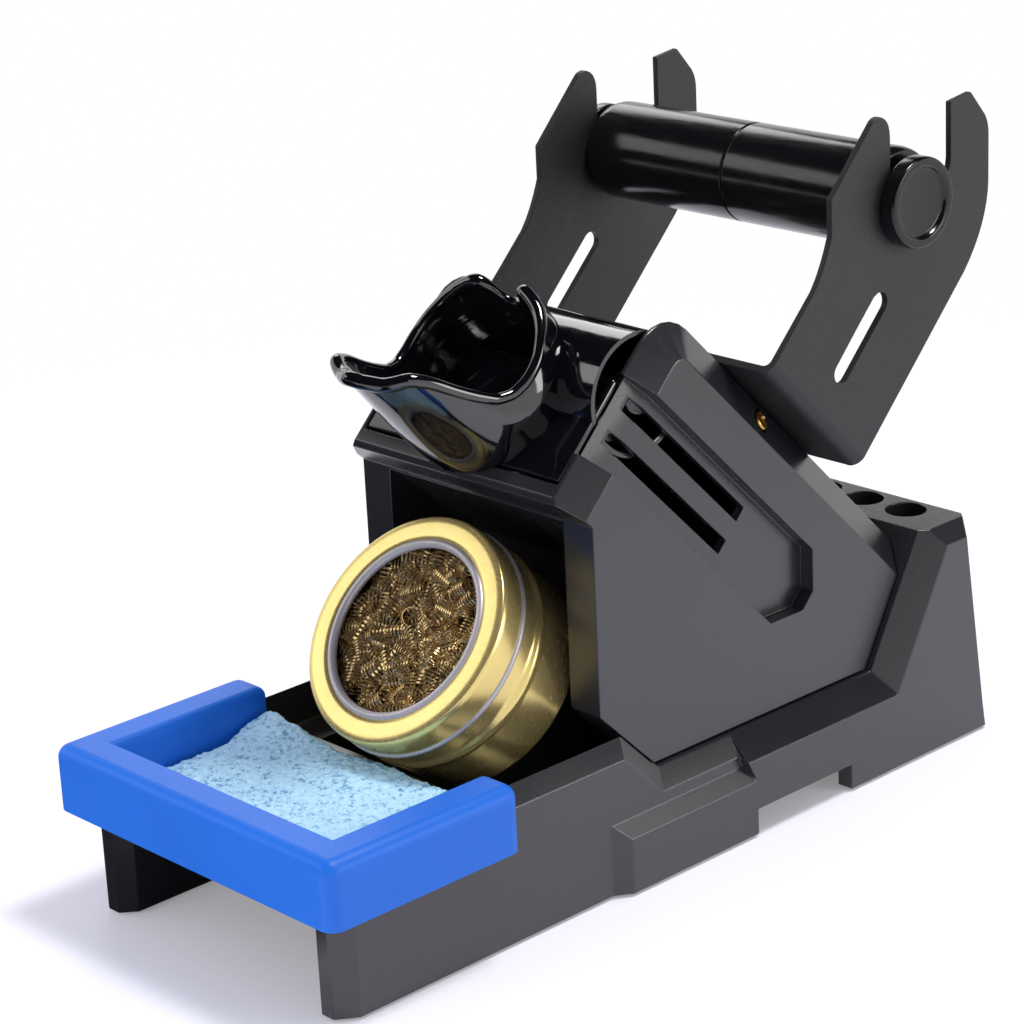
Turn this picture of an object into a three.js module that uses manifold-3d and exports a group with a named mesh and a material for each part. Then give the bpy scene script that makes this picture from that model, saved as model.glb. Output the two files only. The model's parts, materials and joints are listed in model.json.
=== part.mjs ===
// Soldering iron station: a moulded base with a silicone-rimmed sponge tray, a tilted tin of
// brass wool, a ridged housing with a tilting iron holder, and a sheet-metal reel bracket.
// Millimetres, +Z up. X runs across the station, Y from its tray (front) to its tip block (rear).
// Sizes are counted from the front face of the silicone rim; the last lines centre the model.

import * as THREE from 'three';
import { mergeVertices } from 'three/addons/utils/BufferGeometryUtils.js';
import Module from 'manifold-3d';

const wasm = await Module();
wasm.setup();

// ---------------------------------------------------------------- driving dimensions

const gap = 0.3;                    // seating clearance between two pieces
const seam = gap / 2;               // each side of the parting line of the housing and reel
const facets = 36;                  // sides of a full turn on large round pieces
const screwFacets = 12;             // and on screws and their holes

const footStand = 0.6;              // how far the rubber feet stand below the base
const baseHalf = 38;                // half width of the front of the base
const flangeHalf = 40.4;            // half width of the base flange and rear block
const baseLength = 195.9;           // silicone front face to the rear foot
const deckZ = 22.5;                 // deck that the housing stands on
const wallTopZ = 33;                // top of the tray's side walls

const rimTopZ = 36.2;
const rimBottomZ = 22.4;
const rimLength = 48;               // how far its arms reach back
const rimSkin = 4.2;                // outer thickness of the silicone
const rimHalf = baseHalf + gap + rimSkin;
const rimInner = 1.1;               // thickness of its inner flap
const trayWall = 2.8;               // tray wall that the silicone grips
const rimEdge = 2.4;                // bevel along the top of the silicone

const legWidth = 9;                 // side walls that stand on the table
const noseAcross = 2.6;             // blunt front ends of those walls: across
const noseDepth = 3.2;              // and back from their front
const trayFloor = 3;                // thickness of the tray floor
const dividerY = 48.6;              // cross wall behind the sponge
const dividerWall = 2;
const dividerTopZ = 27;
const spongeHeight = 5.1;

const midFootFront = 79.4;          // widened foot under the front of the housing
const midFootBack = 116.5;
const midFootTop = 12.5;
const rearFootFront = 145.8;        // rear foot, behind the arch
const archZ = 6.2;
const blockTopZ = 50.3;             // top of the rear tip block
const blockCrown = 1.7;             // height that its flat top takes off its top chamfers
const blockLean = 6.7;              // how far its rear face leans in over its height
const blockSlope = 60;              // degrees, front face of the block
const blockFrontY = 158.2;          // where that face meets the deck
const tipHoles = 5;
const tipPitch = 12.2;
const tipRadius = 4.6;
const tipDepth = 24;
const tipY = 183.2;
const blockHollowTop = 22;          // the block is hollow below this height
const padPostRadius = 9;            // but for a post over each rear foot

const cheekHalf = 34;               // outer faces of the housing's cheeks
const ridgeY = 103.8;               // ridge where the two 45 degree slopes meet
const ridgeZ = 115.7;               // height of that corner before it is rounded
const ridgeRound = 9.4;
const ridgeSteps = 6;
const openBack = 20;                // the opening for the holder runs this far down the rear slope
const slopeLength = 44.7;           // ridge down to the front lip
const edgeAcross = 4.7;             // chamfer along the cheek tops: across
const edgeDown = 6.6;               // and down the slope's normal
const housingFront = 78;
const hoodDrop = 6.6;               // height of the hood's underside bevel
const housingWall = 2.6;
const cheekWall = 5.5;              // thickness of the cheeks beside the holder
const cavityHalf = cheekHalf - cheekWall;
const cornerCut = 14.4;             // 45 degree corner at the cheek's lower front
const lipWidth = 2.9;

const recessBack = 98.3;
const recessWall = 2.3;

const panelTop = 16.3;              // sunken cheek panel: distance below the ridge line
const panelWidth = 18.2;
const panelDepth = 3.4;
const panelSink = 0.8;              // how far the panel sinks the cheek's top edge
const panelAcross = 2.3;            // the chamfer inside the panel: across
const panelDown = 7.4;              // and down the slope's normal
const panelEndY = 141.5;
const panelEndZ = 42.4;
const panelCorner = 3.3;
const ventStart = [19, 26.9];       // two vents in the panel, from the ridge line
const ventWidth = 3.2;
const ventLength = 48.2;            // from the front slope, inwards
const ventRail = 0.7;               // thin rail that ties the slats along the opening
const ventRailDepth = 5;

const barrelDown = 16.7;            // holder pivot: distance below the ridge
const barrelDepth = 7.4;            // and under the front slope
const barrelRadius = 12.8;
const pinRadius = 4;
const pinLength = 5;
const pinRoot = 0.4;                // how far each pin is sunk in its cheek
const saddleHalf = cavityHalf - gap;  // half length of the holder's barrel
const saddleSkin = 2.2;
const barrelWall = 3.4;
const barrelEnd = 3;                // thickness of its end discs

const cupDown = 26.7;               // funnel axis: distance below the ridge
const cupRadius = 18.2;
const cupWall = 2.6;
const cupBore = cupRadius - cupWall;
const cupThroat = 9.6;
const cupTail = 8.6;                // how deep the funnel reaches under the slope
const spoutReach = 37.4;

const tinRadius = 25;               // outside of the lid
const tinDepth = 27;
const tinTilt = 40;                 // degrees that its face looks up
const tinY = 57.4;                  // centre of the lid's face
const tinZ = 54.3;
const tinSheet = 0.6;
const tinRoom = 0.6;                // clearance round the tin in its niche
const recessHalf = tinRadius + tinRoom;
const lidSkirt = 7;
const lidMouth = 18.4;

const sheet = 1.5;                  // bracket sheet metal
const bendRadius = 3;
const plateStart = 22.8;            // bracket plate: distances down the rear slope
const plateLength = 37.4;
const armHalf = 42.5;
const armTopZ = 145.4;
const armFrontY = 139.2;
const armBackY = 188.9;
const notchFront = 157.3;
const notchBack = 176.4;
const slotWidth = 4.7;
const slotLength = 21.6;
const slotRise = 9.8;               // slot above the plate

const reelRadius = 10.7;
const reelBore = 8.7;
const reelY = 162.9;
const reelZ = 126.5;
const journalRadius = 5.5;
const axleRadius = 3;
const capRadius = 9.5;
const capWidth = 3.6;

// ---------------------------------------------------------------- solid helpers

const C45 = Math.SQRT1_2;

function toSolid(geometry) {
  const bare = geometry.clone();
  bare.deleteAttribute('normal');
  bare.deleteAttribute('uv');
  const merged = mergeVertices(bare, 1e-4);
  const mesh = new wasm.Mesh({
    numProp: 3,
    vertProperties: new Float32Array(merged.attributes.position.array),
    triVerts: new Uint32Array(merged.index.array),
  });
  return new wasm.Manifold(mesh);
}

function toGeometry(solid) {
  const mesh = solid.getMesh();
  const geometry = new THREE.BufferGeometry();
  const vertices = new Float32Array(mesh.vertProperties);
  geometry.setAttribute('position', new THREE.BufferAttribute(vertices, 3));
  geometry.setIndex(new THREE.BufferAttribute(new Uint32Array(mesh.triVerts), 1));
  geometry.computeVertexNormals();
  return geometry;
}

const join = (first, ...rest) => rest.reduce((all, solid) => all.add(solid), first);
const cut = (first, ...rest) => rest.reduce((all, solid) => all.subtract(solid), first);

function polygon(points) {
  return new THREE.Shape(points.map(([a, b]) => new THREE.Vector2(a, b)));
}

// A side profile drawn in (y, z), run across the station between two x values.
function across(shape, x0, x1, curveSegments = 12) {
  const geometry = new THREE.ExtrudeGeometry(shape, { depth: x1 - x0, bevelEnabled: false, curveSegments });
  const toSide = new THREE.Matrix4().makeBasis(
    new THREE.Vector3(0, 1, 0), new THREE.Vector3(0, 0, 1), new THREE.Vector3(1, 0, 0));
  geometry.applyMatrix4(toSide);
  geometry.translate(x0, 0, 0);
  return toSolid(geometry);
}

// The same, centred, with its long edges bevelled: `inset` in the profile over `width` across.
function acrossBevelled(points, half, width, inset) {
  const geometry = new THREE.ExtrudeGeometry(polygon(points), {
    depth: 2 * (half - width),
    bevelEnabled: true,
    bevelThickness: width,
    bevelSize: inset,
    bevelOffset: -inset,
    bevelSegments: 1,
  });
  const toSide = new THREE.Matrix4().makeBasis(
    new THREE.Vector3(0, 1, 0), new THREE.Vector3(0, 0, 1), new THREE.Vector3(1, 0, 0));
  geometry.applyMatrix4(toSide);
  geometry.translate(width - half, 0, 0);
  return toSolid(geometry);
}

// A plan drawn in (x, y), raised between two heights.
function raised(shape, z0, z1, curveSegments = 12) {
  const geometry = new THREE.ExtrudeGeometry(shape, { depth: z1 - z0, bevelEnabled: false, curveSegments });
  geometry.translate(0, 0, z0);
  return toSolid(geometry);
}

function block(x0, x1, y0, y1, z0, z1) {
  const geometry = new THREE.BoxGeometry(x1 - x0, y1 - y0, z1 - z0);
  geometry.translate((x0 + x1) / 2, (y0 + y1) / 2, (z0 + z1) / 2);
  return toSolid(geometry);
}

// A revolved profile of [radius, height] pairs about +Z, given either way round.
function turned(profile, sides = facets) {
  const points = profile.map(([r, h]) => new THREE.Vector2(r, h));
  if (THREE.ShapeUtils.area(points) < 0) {
    points.reverse();
  }
  return new THREE.LatheGeometry(points, sides).rotateX(Math.PI / 2);
}

// A plain rod from one point along a direction.
function rod(radius, start, direction, length, sides = 20) {
  const geometry = new THREE.CylinderGeometry(radius, radius, length, sides);
  const along = new THREE.Vector3(...direction).normalize();
  geometry.translate(0, length / 2, 0);
  geometry.applyQuaternion(new THREE.Quaternion().setFromUnitVectors(new THREE.Vector3(0, 1, 0), along));
  geometry.translate(...start);
  return toSolid(geometry);
}

// Lays a revolved piece, whose axis is +Z, along a direction from a point.
function placeTurned(geometry, start, direction) {
  const along = new THREE.Vector3(...direction).normalize();
  geometry.applyQuaternion(new THREE.Quaternion().setFromUnitVectors(new THREE.Vector3(0, 0, 1), along));
  geometry.translate(...start);
  return geometry;
}

// Points on the front slope: `down` from the ridge, `out` along its normal. Then the rear slope.
const onFront = (down, out) => [ridgeY - (down + out) * C45, ridgeZ + (out - down) * C45];
const onRear = (down, out) => [ridgeY + (down + out) * C45, ridgeZ + (out - down) * C45];

const frontNormal = [0, -C45, C45];
const rearNormal = [0, C45, C45];

// ---------------------------------------------------------------- model and finishes

const station = new THREE.Group();
const assembly = new THREE.Group();
station.add(assembly);

const finish = (color, roughness, metalness = 0) => () =>
  new THREE.MeshStandardMaterial({ color, roughness, metalness });
const blackAbs = finish(0x3a3a3d, 0.42);
const bakelite = finish(0x0d0e12, 0.12);
const powderCoat = finish(0x2b2b2d, 0.6, 0.3);
const silicone = finish(0x2066cf, 0.5);
const cellulose = finish(0x9fddf2, 0.95);
const goldTin = finish(0xd8b65a, 0.28, 0.9);
const brassCurl = finish(0x9a7a3c, 0.4, 0.9);
const rubber = finish(0x1c1c1e, 0.85);
const zinc = finish(0xb9bcc0, 0.3, 0.9);
const brass = finish(0xc9a75a, 0.3, 0.9);
const glossTube = finish(0x141416, 0.2);

function add(name, solid, material) {
  const geometry = solid.isBufferGeometry ? solid : toGeometry(solid);
  const mesh = new THREE.Mesh(geometry, material());
  mesh.name = name;
  assembly.add(mesh);
  return mesh;
}

// ---------------------------------------------------------------- base frame

const blockTan = Math.tan(THREE.MathUtils.degToRad(blockSlope));
const blockFrontAt = (z) => blockFrontY + (z - deckZ) / blockTan;
const rearFaceAt = (z) => baseLength - z * blockLean / blockTopZ;
const tinAngle = THREE.MathUtils.degToRad(tinTilt);
const tinAxis = [0, Math.cos(tinAngle), -Math.sin(tinAngle)];
const tinPoint = (radial, depth) => [
  tinY + radial * -tinAxis[2] + depth * tinAxis[1],
  tinZ + radial * tinAxis[1] + depth * tinAxis[2],
];
const rimOffset = rimHalf - baseHalf + gap;
const trayFront = rimOffset;
const trayInnerHalf = baseHalf - trayWall;
const cornerY = housingFront + cornerCut;

function tipHole(index) {
  const x = (index - (tipHoles - 1) / 2) * tipPitch;
  return rod(tipRadius, [x, tipY, blockTopZ - tipDepth], [0, 0, 1], tipDepth + 1, 20);
}

const postX = 24.8;                 // posts of the housing that the base screws hold
const postY = [116, 148];
const screwPosts = [];
for (const side of [-1, 1]) {
  for (const y of postY) {
    screwPosts.push([side * postX, y]);
  }
}
const postRadius = 4;
const screwShank = 1.4;
const screwHead = 2.9;
const screwHeadHeight = 1.9;

const padHeight = 1.8;
const frontPadX = baseHalf - legWidth / 2;
const frontPadY = 16.5;
const frontPadRadius = 3.3;
const rearPadX = 28;
const rearPadY = 176;
const rearPadRadius = 6;
const footPads = [
  ['foot_front_left', -frontPadX, frontPadY, frontPadRadius],
  ['foot_front_right', frontPadX, frontPadY, frontPadRadius],
  ['foot_rear_left', -rearPadX, rearPadY, rearPadRadius],
  ['foot_rear_right', rearPadX, rearPadY, rearPadRadius],
];

function baseFrame() {
  const below = -8;
  const crown = blockTopZ + blockCrown;
  const frontBody = acrossBevelled([
    [trayFront, below],
    [rearFootFront, below],
    [rearFootFront, deckZ],
    [cornerY + gap, deckZ],
    [cornerY + gap - (wallTopZ - deckZ), wallTopZ],
    [trayFront, wallTopZ],
  ], baseHalf, 3, 4.2);
  const midFoot = acrossBevelled([
    [midFootFront - 3.5, below],
    [midFootBack + 6, below],
    [midFootBack + 6, midFootTop + 3.5],
    [midFootFront - 3.5, midFootTop + 3.5],
  ], flangeHalf, 2.4, 3.5).intersect(block(-50, 50, 60, midFootBack, below, 30));
  const rearBody = acrossBevelled([
    [midFootFront, below],
    [rearFaceAt(below), below],
    [rearFaceAt(crown), crown],
    [blockFrontAt(crown), crown],
    [blockFrontY, deckZ],
    [midFootFront, deckZ],
  ], flangeHalf, 5.4, 5);
  const rearClip = across(polygon([
    [midFootBack - 0.2, footStand],
    [midFootBack + 2.6, archZ],
    [rearFootFront - 4.2, archZ],
    [rearFootFront, archZ - 2.8],
    [rearFootFront, footStand],
    [baseLength + 10, footStand],
    [baseLength + 10, blockTopZ],
    [blockFrontAt(blockTopZ) - 10, blockTopZ],
    [midFootBack - 2.8, deckZ],
    [midFootBack - 2.8, 17.3],
    [midFootBack - 0.2, midFootTop],
  ]), -50, 50);
  const ground = block(-60, 60, -20, 240, -20, footStand);

  const trayHollow = block(-trayInnerHalf, trayInnerHalf, trayFront + trayWall, dividerY, deckZ, 60);
  const wallsHollow = block(-trayInnerHalf, trayInnerHalf, dividerY - 1, cornerY + 20, deckZ + 1.4, 60);
  const tinWell = block(-recessHalf, recessHalf, dividerY + dividerWall, recessBack, 15.5, 60);
  const housingSpace = block(-cheekHalf - gap, cheekHalf + gap, housingFront - gap, 240, deckZ, 60)
    .intersect(across(polygon([
      [0, deckZ],
      [blockFrontY, deckZ],
      [blockFrontAt(80), 80],
      [0, 80],
    ]), -50, 50));
  const legInner = baseHalf - legWidth;
  const underFront = block(-legInner, legInner, -20, dividerY - 6, -20, deckZ - trayFloor);
  const noses = raised(polygon([
    [-legInner - noseAcross, -20],
    [-legInner - noseAcross, trayFront],
    [-legInner, trayFront + noseDepth],
    [legInner, trayFront + noseDepth],
    [legInner + noseAcross, trayFront],
    [legInner + noseAcross, -20],
  ]), -20, deckZ - trayFloor);
  const underWell = block(-legInner, legInner, -20, recessBack + 6, -20, 13);
  const underHalf = flangeHalf - 4;
  const underRear = block(-underHalf, underHalf, recessBack + 6, blockFrontY, -20, deckZ - trayFloor);
  const archRear = block(-60, 60, midFootBack, rearFootFront, -20, archZ)
    .subtract(block(-60, 60, midFootBack - 20, midFootBack + 2.6, archZ, archZ + 1));

  const blockInner = flangeHalf - 4.4;
  const blockHollow = cut(
    block(-blockInner, blockInner, blockFrontY + 4, baseLength - 6.5, -20, blockHollowTop),
    rod(padPostRadius, [-rearPadX, rearPadY, 0], [0, 0, 1], 30),
    rod(padPostRadius, [rearPadX, rearPadY, 0], [0, 0, 1], 30));

  let frame = join(frontBody.subtract(block(-60, 60, midFootBack - 0.5, 300, -20, archZ)), midFoot,
    rearBody.intersect(rearClip));
  frame = cut(frame, ground, trayHollow, wallsHollow, housingSpace, tinWell, underFront, noses,
    underWell, underRear, blockHollow, archRear);

  const divider = block(-trayInnerHalf - 1, trayInnerHalf + 1, dividerY, dividerY + dividerWall,
    deckZ - 1, dividerTopZ);
  frame = frame.add(divider);
  for (const side of [-1, 1]) {
    const [y0, z0] = tinPoint(-tinRadius + 3, tinDepth + gap);
    const [y1, z1] = tinPoint(tinRadius - 6, tinDepth + gap);
    const rib = across(polygon([
      [y0, 15],
      [y0, z0],
      [y1, z1],
      [recessBack - gap, z1],
      [recessBack - gap, 15],
    ]), side * 12 - 1.5, side * 12 + 1.5);
    frame = frame.add(rib);
  }
  for (let i = 0; i < tipHoles; i += 1) {
    frame = frame.subtract(tipHole(i));
  }
  for (const [x, y] of screwPosts) {
    frame = frame.subtract(rod(screwShank + gap, [x, y, 10], [0, 0, 1], 20, screwFacets));
  }
  for (const [, x, y, radius] of footPads) {
    frame = frame.subtract(rod(radius + gap, [x, y, -1], [0, 0, 1], padHeight + gap + 1, 28));
  }
  return frame;
}

add('base_frame', baseFrame(), blackAbs);

for (const [name, x, y, radius] of footPads) {
  add(name, rod(radius, [x, y, 0], [0, 0, 1], padHeight, 28), rubber);
}

// ---------------------------------------------------------------- silicone rim and sponge

const rimInside = trayInnerHalf - gap - rimInner;
const rimInsideY = trayFront + trayWall + gap + rimInner;

function siliconeRim() {
  const outer = new THREE.Shape();
  const corner = 3;
  const tail = 6;
  outer.moveTo(-rimHalf + corner, 0);
  outer.lineTo(rimHalf - corner, 0);
  outer.absarc(rimHalf - corner, corner, corner, -Math.PI / 2, 0);
  outer.lineTo(rimHalf, rimLength);
  outer.lineTo(-rimHalf, rimLength);
  outer.lineTo(-rimHalf, corner);
  outer.absarc(-rimHalf + corner, corner, corner, Math.PI, 1.5 * Math.PI);
  const sides = raised(outer, rimBottomZ, rimTopZ, 6);
  const bevelled = acrossBevelled([
    [0, rimBottomZ - 9],
    [rimLength + 20, rimBottomZ - 9],
    [rimLength + 20, rimTopZ],
    [0, rimTopZ],
  ], rimHalf, rimEdge, rimEdge);
  const tailRound = new THREE.Shape();
  tailRound.moveTo(0, rimBottomZ - 5);
  tailRound.lineTo(rimLength, rimBottomZ - 5);
  tailRound.lineTo(rimLength, rimTopZ - tail);
  tailRound.absarc(rimLength - tail, rimTopZ - tail, tail, 0, Math.PI / 2);
  tailRound.lineTo(rimEdge, rimTopZ);
  tailRound.lineTo(0, rimTopZ - rimEdge);
  const outside = sides.intersect(bevelled).intersect(across(tailRound, -60, 60, 6));
  const hollow = block(-rimInside, rimInside, rimInsideY, 100, 0, 60);
  const grip = block(-baseHalf - gap, baseHalf + gap, trayFront - gap, 100, 0, wallTopZ + gap)
    .subtract(block(-trayInnerHalf + gap, trayInnerHalf - gap, trayFront + trayWall + gap, 100, 0, 60));
  const overFloor = block(-baseHalf - gap, baseHalf + gap, trayFront - gap, 100, 0, deckZ + gap);
  return cut(outside, hollow, grip, overFloor);
}

add('silicone_rim', siliconeRim(), silicone);

const spongeInset = 0.8;            // room round the sponge in its tray

function sponge() {
  const x = rimInside - spongeInset;
  const plan = roundedRectangle(-x, x, rimInsideY + spongeInset, dividerY - spongeInset, 3);
  return raised(plan, deckZ + gap, deckZ + gap + spongeHeight, 5);
}

function roundedRectangle(x0, x1, y0, y1, radius) {
  const shape = new THREE.Shape();
  shape.moveTo(x0 + radius, y0);
  shape.lineTo(x1 - radius, y0);
  shape.absarc(x1 - radius, y0 + radius, radius, -Math.PI / 2, 0);
  shape.lineTo(x1, y1 - radius);
  shape.absarc(x1 - radius, y1 - radius, radius, 0, Math.PI / 2);
  shape.lineTo(x0 + radius, y1);
  shape.absarc(x0 + radius, y1 - radius, radius, Math.PI / 2, Math.PI);
  shape.lineTo(x0, y0 + radius);
  shape.absarc(x0 + radius, y0 + radius, radius, Math.PI, 1.5 * Math.PI);
  return shape;
}

add('sponge', sponge(), cellulose);

// ---------------------------------------------------------------- brass wool tin

const intoTin = (geometry) => placeTurned(geometry, [0, tinY, tinZ], tinAxis);
const tinSeat = tinRadius - tinSheet - gap;      // outside of the tin's neck, inside the lid
const beadDepth = 13;

function tinBody() {
  return intoTin(turned([
    [0, tinDepth],
    [tinSeat - 1.6, tinDepth],
    [tinSeat - 0.4, tinDepth - 0.5],
    [tinSeat, tinDepth - 1.7],
    [tinSeat, beadDepth + 0.9],
    [tinSeat + 0.8, beadDepth],
    [tinSeat, beadDepth - 0.9],
    [tinSeat, tinSheet + gap],
    [tinSeat - tinSheet, tinSheet + gap],
    [tinSeat - tinSheet, tinDepth - tinSheet],
    [0, tinDepth - tinSheet],
  ]));
}

function tinLid() {
  return intoTin(turned([
    [lidMouth, 0.9],
    [lidMouth + 0.5, 0],
    [tinRadius - 1.2, 0],
    [tinRadius - 0.3, 0.35],
    [tinRadius, 1.2],
    [tinRadius, lidSkirt],
    [tinRadius - tinSheet, lidSkirt],
    [tinRadius - tinSheet, tinSheet],
    [lidMouth + 0.6, tinSheet],
    [lidMouth + 0.5, 1.4],
    [lidMouth, 0.9],
  ]));
}

function woolPad() {
  const radius = tinSeat - tinSheet - gap;
  return intoTin(turned([
    [0, 0.6],
    [9, 0.9],
    [lidMouth - 2, 1.5],
    [lidMouth - 0.4, 2.6],
    [radius, 4.2],
    [radius, tinDepth - tinSheet - gap],
    [0, tinDepth - tinSheet - gap],
  ]));
}

add('tin_body', tinBody(), goldTin);
add('tin_lid', tinLid(), goldTin);
add('brass_wool', woolPad(), brassCurl);

// ---------------------------------------------------------------- housing, in two halves

const pivotAt = onFront(barrelDown, -barrelDepth);
const hoodLipAt = onFront(slopeLength, 0);

function panelBand(from, width, end) {
  const points = [
    onFront(from, 30),
    onFront(from, -end),
    onFront(from + width, -end),
    onFront(from + width, 30),
  ];
  return across(polygon(points), -50, 50);
}

// The two slopes and the rounded ridge between them, seen from the side and sunk by some depth.
function slopes(sink) {
  const round = ridgeRound - sink;
  const centreZ = ridgeZ - ridgeRound * Math.SQRT2;
  const profile = [[50, 0], onFront(slopeLength + 20, -sink)];
  for (let i = 0; i <= ridgeSteps; i += 1) {
    const angle = Math.PI * (0.75 - 0.5 * i / ridgeSteps);
    profile.push([ridgeY + round * Math.cos(angle), centreZ + round * Math.sin(angle)]);
  }
  profile.push(onRear(110, -sink), onRear(140, -60));
  return profile;
}

function housingShell() {
  const bottom = deckZ + gap;
  const top = 130;
  const lipY = hoodLipAt[0];
  const rearAt = (z) => blockFrontAt(z) - gap * 1.3;
  const clip = across(polygon([
    [cornerY + gap, bottom],
    [rearAt(bottom), bottom],
    [rearAt(top), top],
    [lipY, top],
    [lipY, hoodLipAt[1] - 1.6],
    [housingFront, hoodLipAt[1] - hoodDrop],
    [housingFront, bottom + cornerCut + gap],
  ]), -50, 50);
  let shell = acrossBevelled(slopes(0), cheekHalf, edgeAcross, edgeDown).intersect(clip);

  const inner = housingWall;
  const open = 20;
  const cavity = across(polygon([
    [housingFront + inner, 0],
    [housingFront + inner, hoodLipAt[1] - hoodDrop + 2.6],
    onFront(slopeLength - lipWidth, -3.4),
    onFront(slopeLength - lipWidth, open),
    onFront(-open, open),
    onRear(openBack, open),
    onRear(openBack, -inner),
    onRear(64, -inner),
    [rearAt(50) - inner, 44],
    [rearAt(0) - inner, 0],
  ]), -cavityHalf, cavityHalf);
  shell = shell.subtract(cavity);

  const nicheTop = hoodLipAt[1] - hoodDrop - 0.6;
  const nicheOuter = across(polygon([
    [housingFront, bottom],
    [housingFront, nicheTop + recessWall],
    [housingFront + 8, nicheTop - 3.2],
    [recessBack + recessWall, 60.8],
    [recessBack + recessWall, bottom],
  ]), -recessHalf - recessWall, recessHalf + recessWall);
  const nicheInner = across(polygon([
    [housingFront - 20, 0],
    [housingFront - 20, nicheTop],
    [housingFront, nicheTop],
    [housingFront + 7, nicheTop - 5.4],
    [recessBack, 59.2],
    [recessBack, 0],
  ]), -recessHalf, recessHalf);
  shell = cut(shell.add(nicheOuter.intersect(clip)), nicheInner);

  const floorOfPanel = acrossBevelled(slopes(panelSink), cheekHalf - panelDepth, panelAcross, panelDown);
  const end = across(polygon([
    [0, panelEndZ],
    [panelEndY - panelCorner, panelEndZ],
    [panelEndY, panelEndZ + panelCorner],
    [panelEndY, 200],
    [0, 200],
  ]), -50, 50);
  const panel = panelBand(panelTop, panelWidth, 90).intersect(end).subtract(floorOfPanel);
  shell = shell.subtract(panel);
  const rail = across(polygon([
    onFront(0, -ventRailDepth),
    onFront(slopeLength, -ventRailDepth),
    onFront(slopeLength, open),
    onFront(0, open),
  ]), -cavityHalf - ventRail, cavityHalf + ventRail);
  for (const start of ventStart) {
    const vent = panelBand(start, ventWidth, ventLength)
      .subtract(block(-cavityHalf + seam, cavityHalf - seam, 0, 200, 0, 200))
      .subtract(rail);
    shell = shell.subtract(vent);
  }

  for (const side of [-1, 1]) {
    const root = [side * (cavityHalf + pinRoot), ...pivotAt];
    shell = shell.add(rod(pinRadius, root, [-side, 0, 0], pinLength + pinRoot));
  }
  for (const [x, y] of screwPosts) {
    const post = rod(postRadius, [x, y, bottom], [0, 0, 1], 22);
    shell = shell.add(post);
  }
  for (const [x, y] of screwPosts) {
    shell = shell.subtract(rod(screwShank + 0.15, [x, y, bottom - 1], [0, 0, 1], 13, screwFacets));
  }
  for (const [x, down] of plateScrews) {
    const [y, z] = onRear(down, -0.2);
    const backwards = [0, -C45, -C45];
    shell = shell.add(rod(postRadius, [x, y, z], backwards, 9));
    const [by, bz] = onRear(down, 1);
    shell = shell.subtract(rod(screwShank + 0.15, [x, by, bz], backwards, 9, screwFacets));
  }
  for (const side of [-1, 1]) {
    const { point, inward } = sideScrew(side, 0.2);
    shell = shell.subtract(rod(screwHead - 0.4, point, inward, 1.6, screwFacets));
    shell = shell.subtract(rod(screwShank + 0.15, point, inward, 12, screwFacets));
  }
  return shell;
}

// The small screws set in the rear chamfer of each cheek.
function sideScrew(side, proud) {
  const down = 39;
  const across45 = edgeAcross / 2;
  const length = Math.hypot(edgeAcross, edgeDown);
  const out = [side * edgeDown / length, C45 * edgeAcross / length, C45 * edgeAcross / length];
  const [y, z] = onRear(down, -edgeDown / 2);
  const x = side * (cheekHalf - edgeAcross + across45);
  return {
    point: [x + out[0] * proud, y + out[1] * proud, z + out[2] * proud],
    inward: out.map((v) => -v),
  };
}

const plateScrews = [];
for (const side of [-1, 1]) {
  for (const down of [plateStart + 7, plateStart + plateLength - 8]) {
    plateScrews.push([side * 19, down]);
  }
}

const shell = housingShell();
add('housing_left', shell.subtract(block(-seam, 60, 0, 250, 0, 200)), blackAbs);
add('housing_right', shell.subtract(block(-60, seam, 0, 250, 0, 200)), blackAbs);

// ---------------------------------------------------------------- screws

function panScrew(point, inward, length) {
  const head = turned([
    [0, 0],
    [screwHead * 0.72, 0.1],
    [screwHead, 0.8],
    [screwHead, screwHeadHeight],
    [screwShank, screwHeadHeight],
    [screwShank, screwHeadHeight + length],
    [0, screwHeadHeight + length],
  ], screwFacets);
  return placeTurned(head, point, inward);
}

const screwNames = ['front', 'rear'];
screwPosts.forEach(([x, y], i) => {
  const name = `base_screw_${screwNames[i % 2]}_${x < 0 ? 'left' : 'right'}`;
  const under = deckZ - trayFloor - gap - screwHeadHeight;
  add(name, panScrew([x, y, under], [0, 0, 1], 13), zinc);
});
plateScrews.forEach(([x, down], i) => {
  const name = `bracket_screw_${screwNames[i % 2]}_${x < 0 ? 'left' : 'right'}`;
  const [y, z] = onRear(down, gap + sheet + gap + screwHeadHeight);
  add(name, panScrew([x, y, z], [0, -C45, -C45], 9), brass);
});
for (const side of [-1, 1]) {
  const { point, inward } = sideScrew(side, 0);
  const small = turned([
    [0, 0],
    [screwHead - 0.8, 0],
    [screwHead - 0.8, 1],
    [screwShank, 1.1],
    [screwShank, 7],
    [0, 7],
  ], screwFacets);
  add(`side_screw_${side < 0 ? 'left' : 'right'}`, placeTurned(small, point, inward), brass);
}

// ---------------------------------------------------------------- iron holder

// Rim of the funnel seen from the side: [distance from the funnel's lowest line, height out].
const rimLine = [
  [-2.5, spoutReach - 0.4],
  [0, spoutReach],
  [3, spoutReach - 1.4],
  [6, 31],
  [8.5, 24],
  [9.3, 18],
  [11, 14.5],
  [14.5, 12],
  [20, 9.6],
  [26, 8.6],
  [29.5, 10.6],
  [33, 15],
  [34.4, 13.6],
  [35.6, 9.4],
  [38, 8],
];

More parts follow.
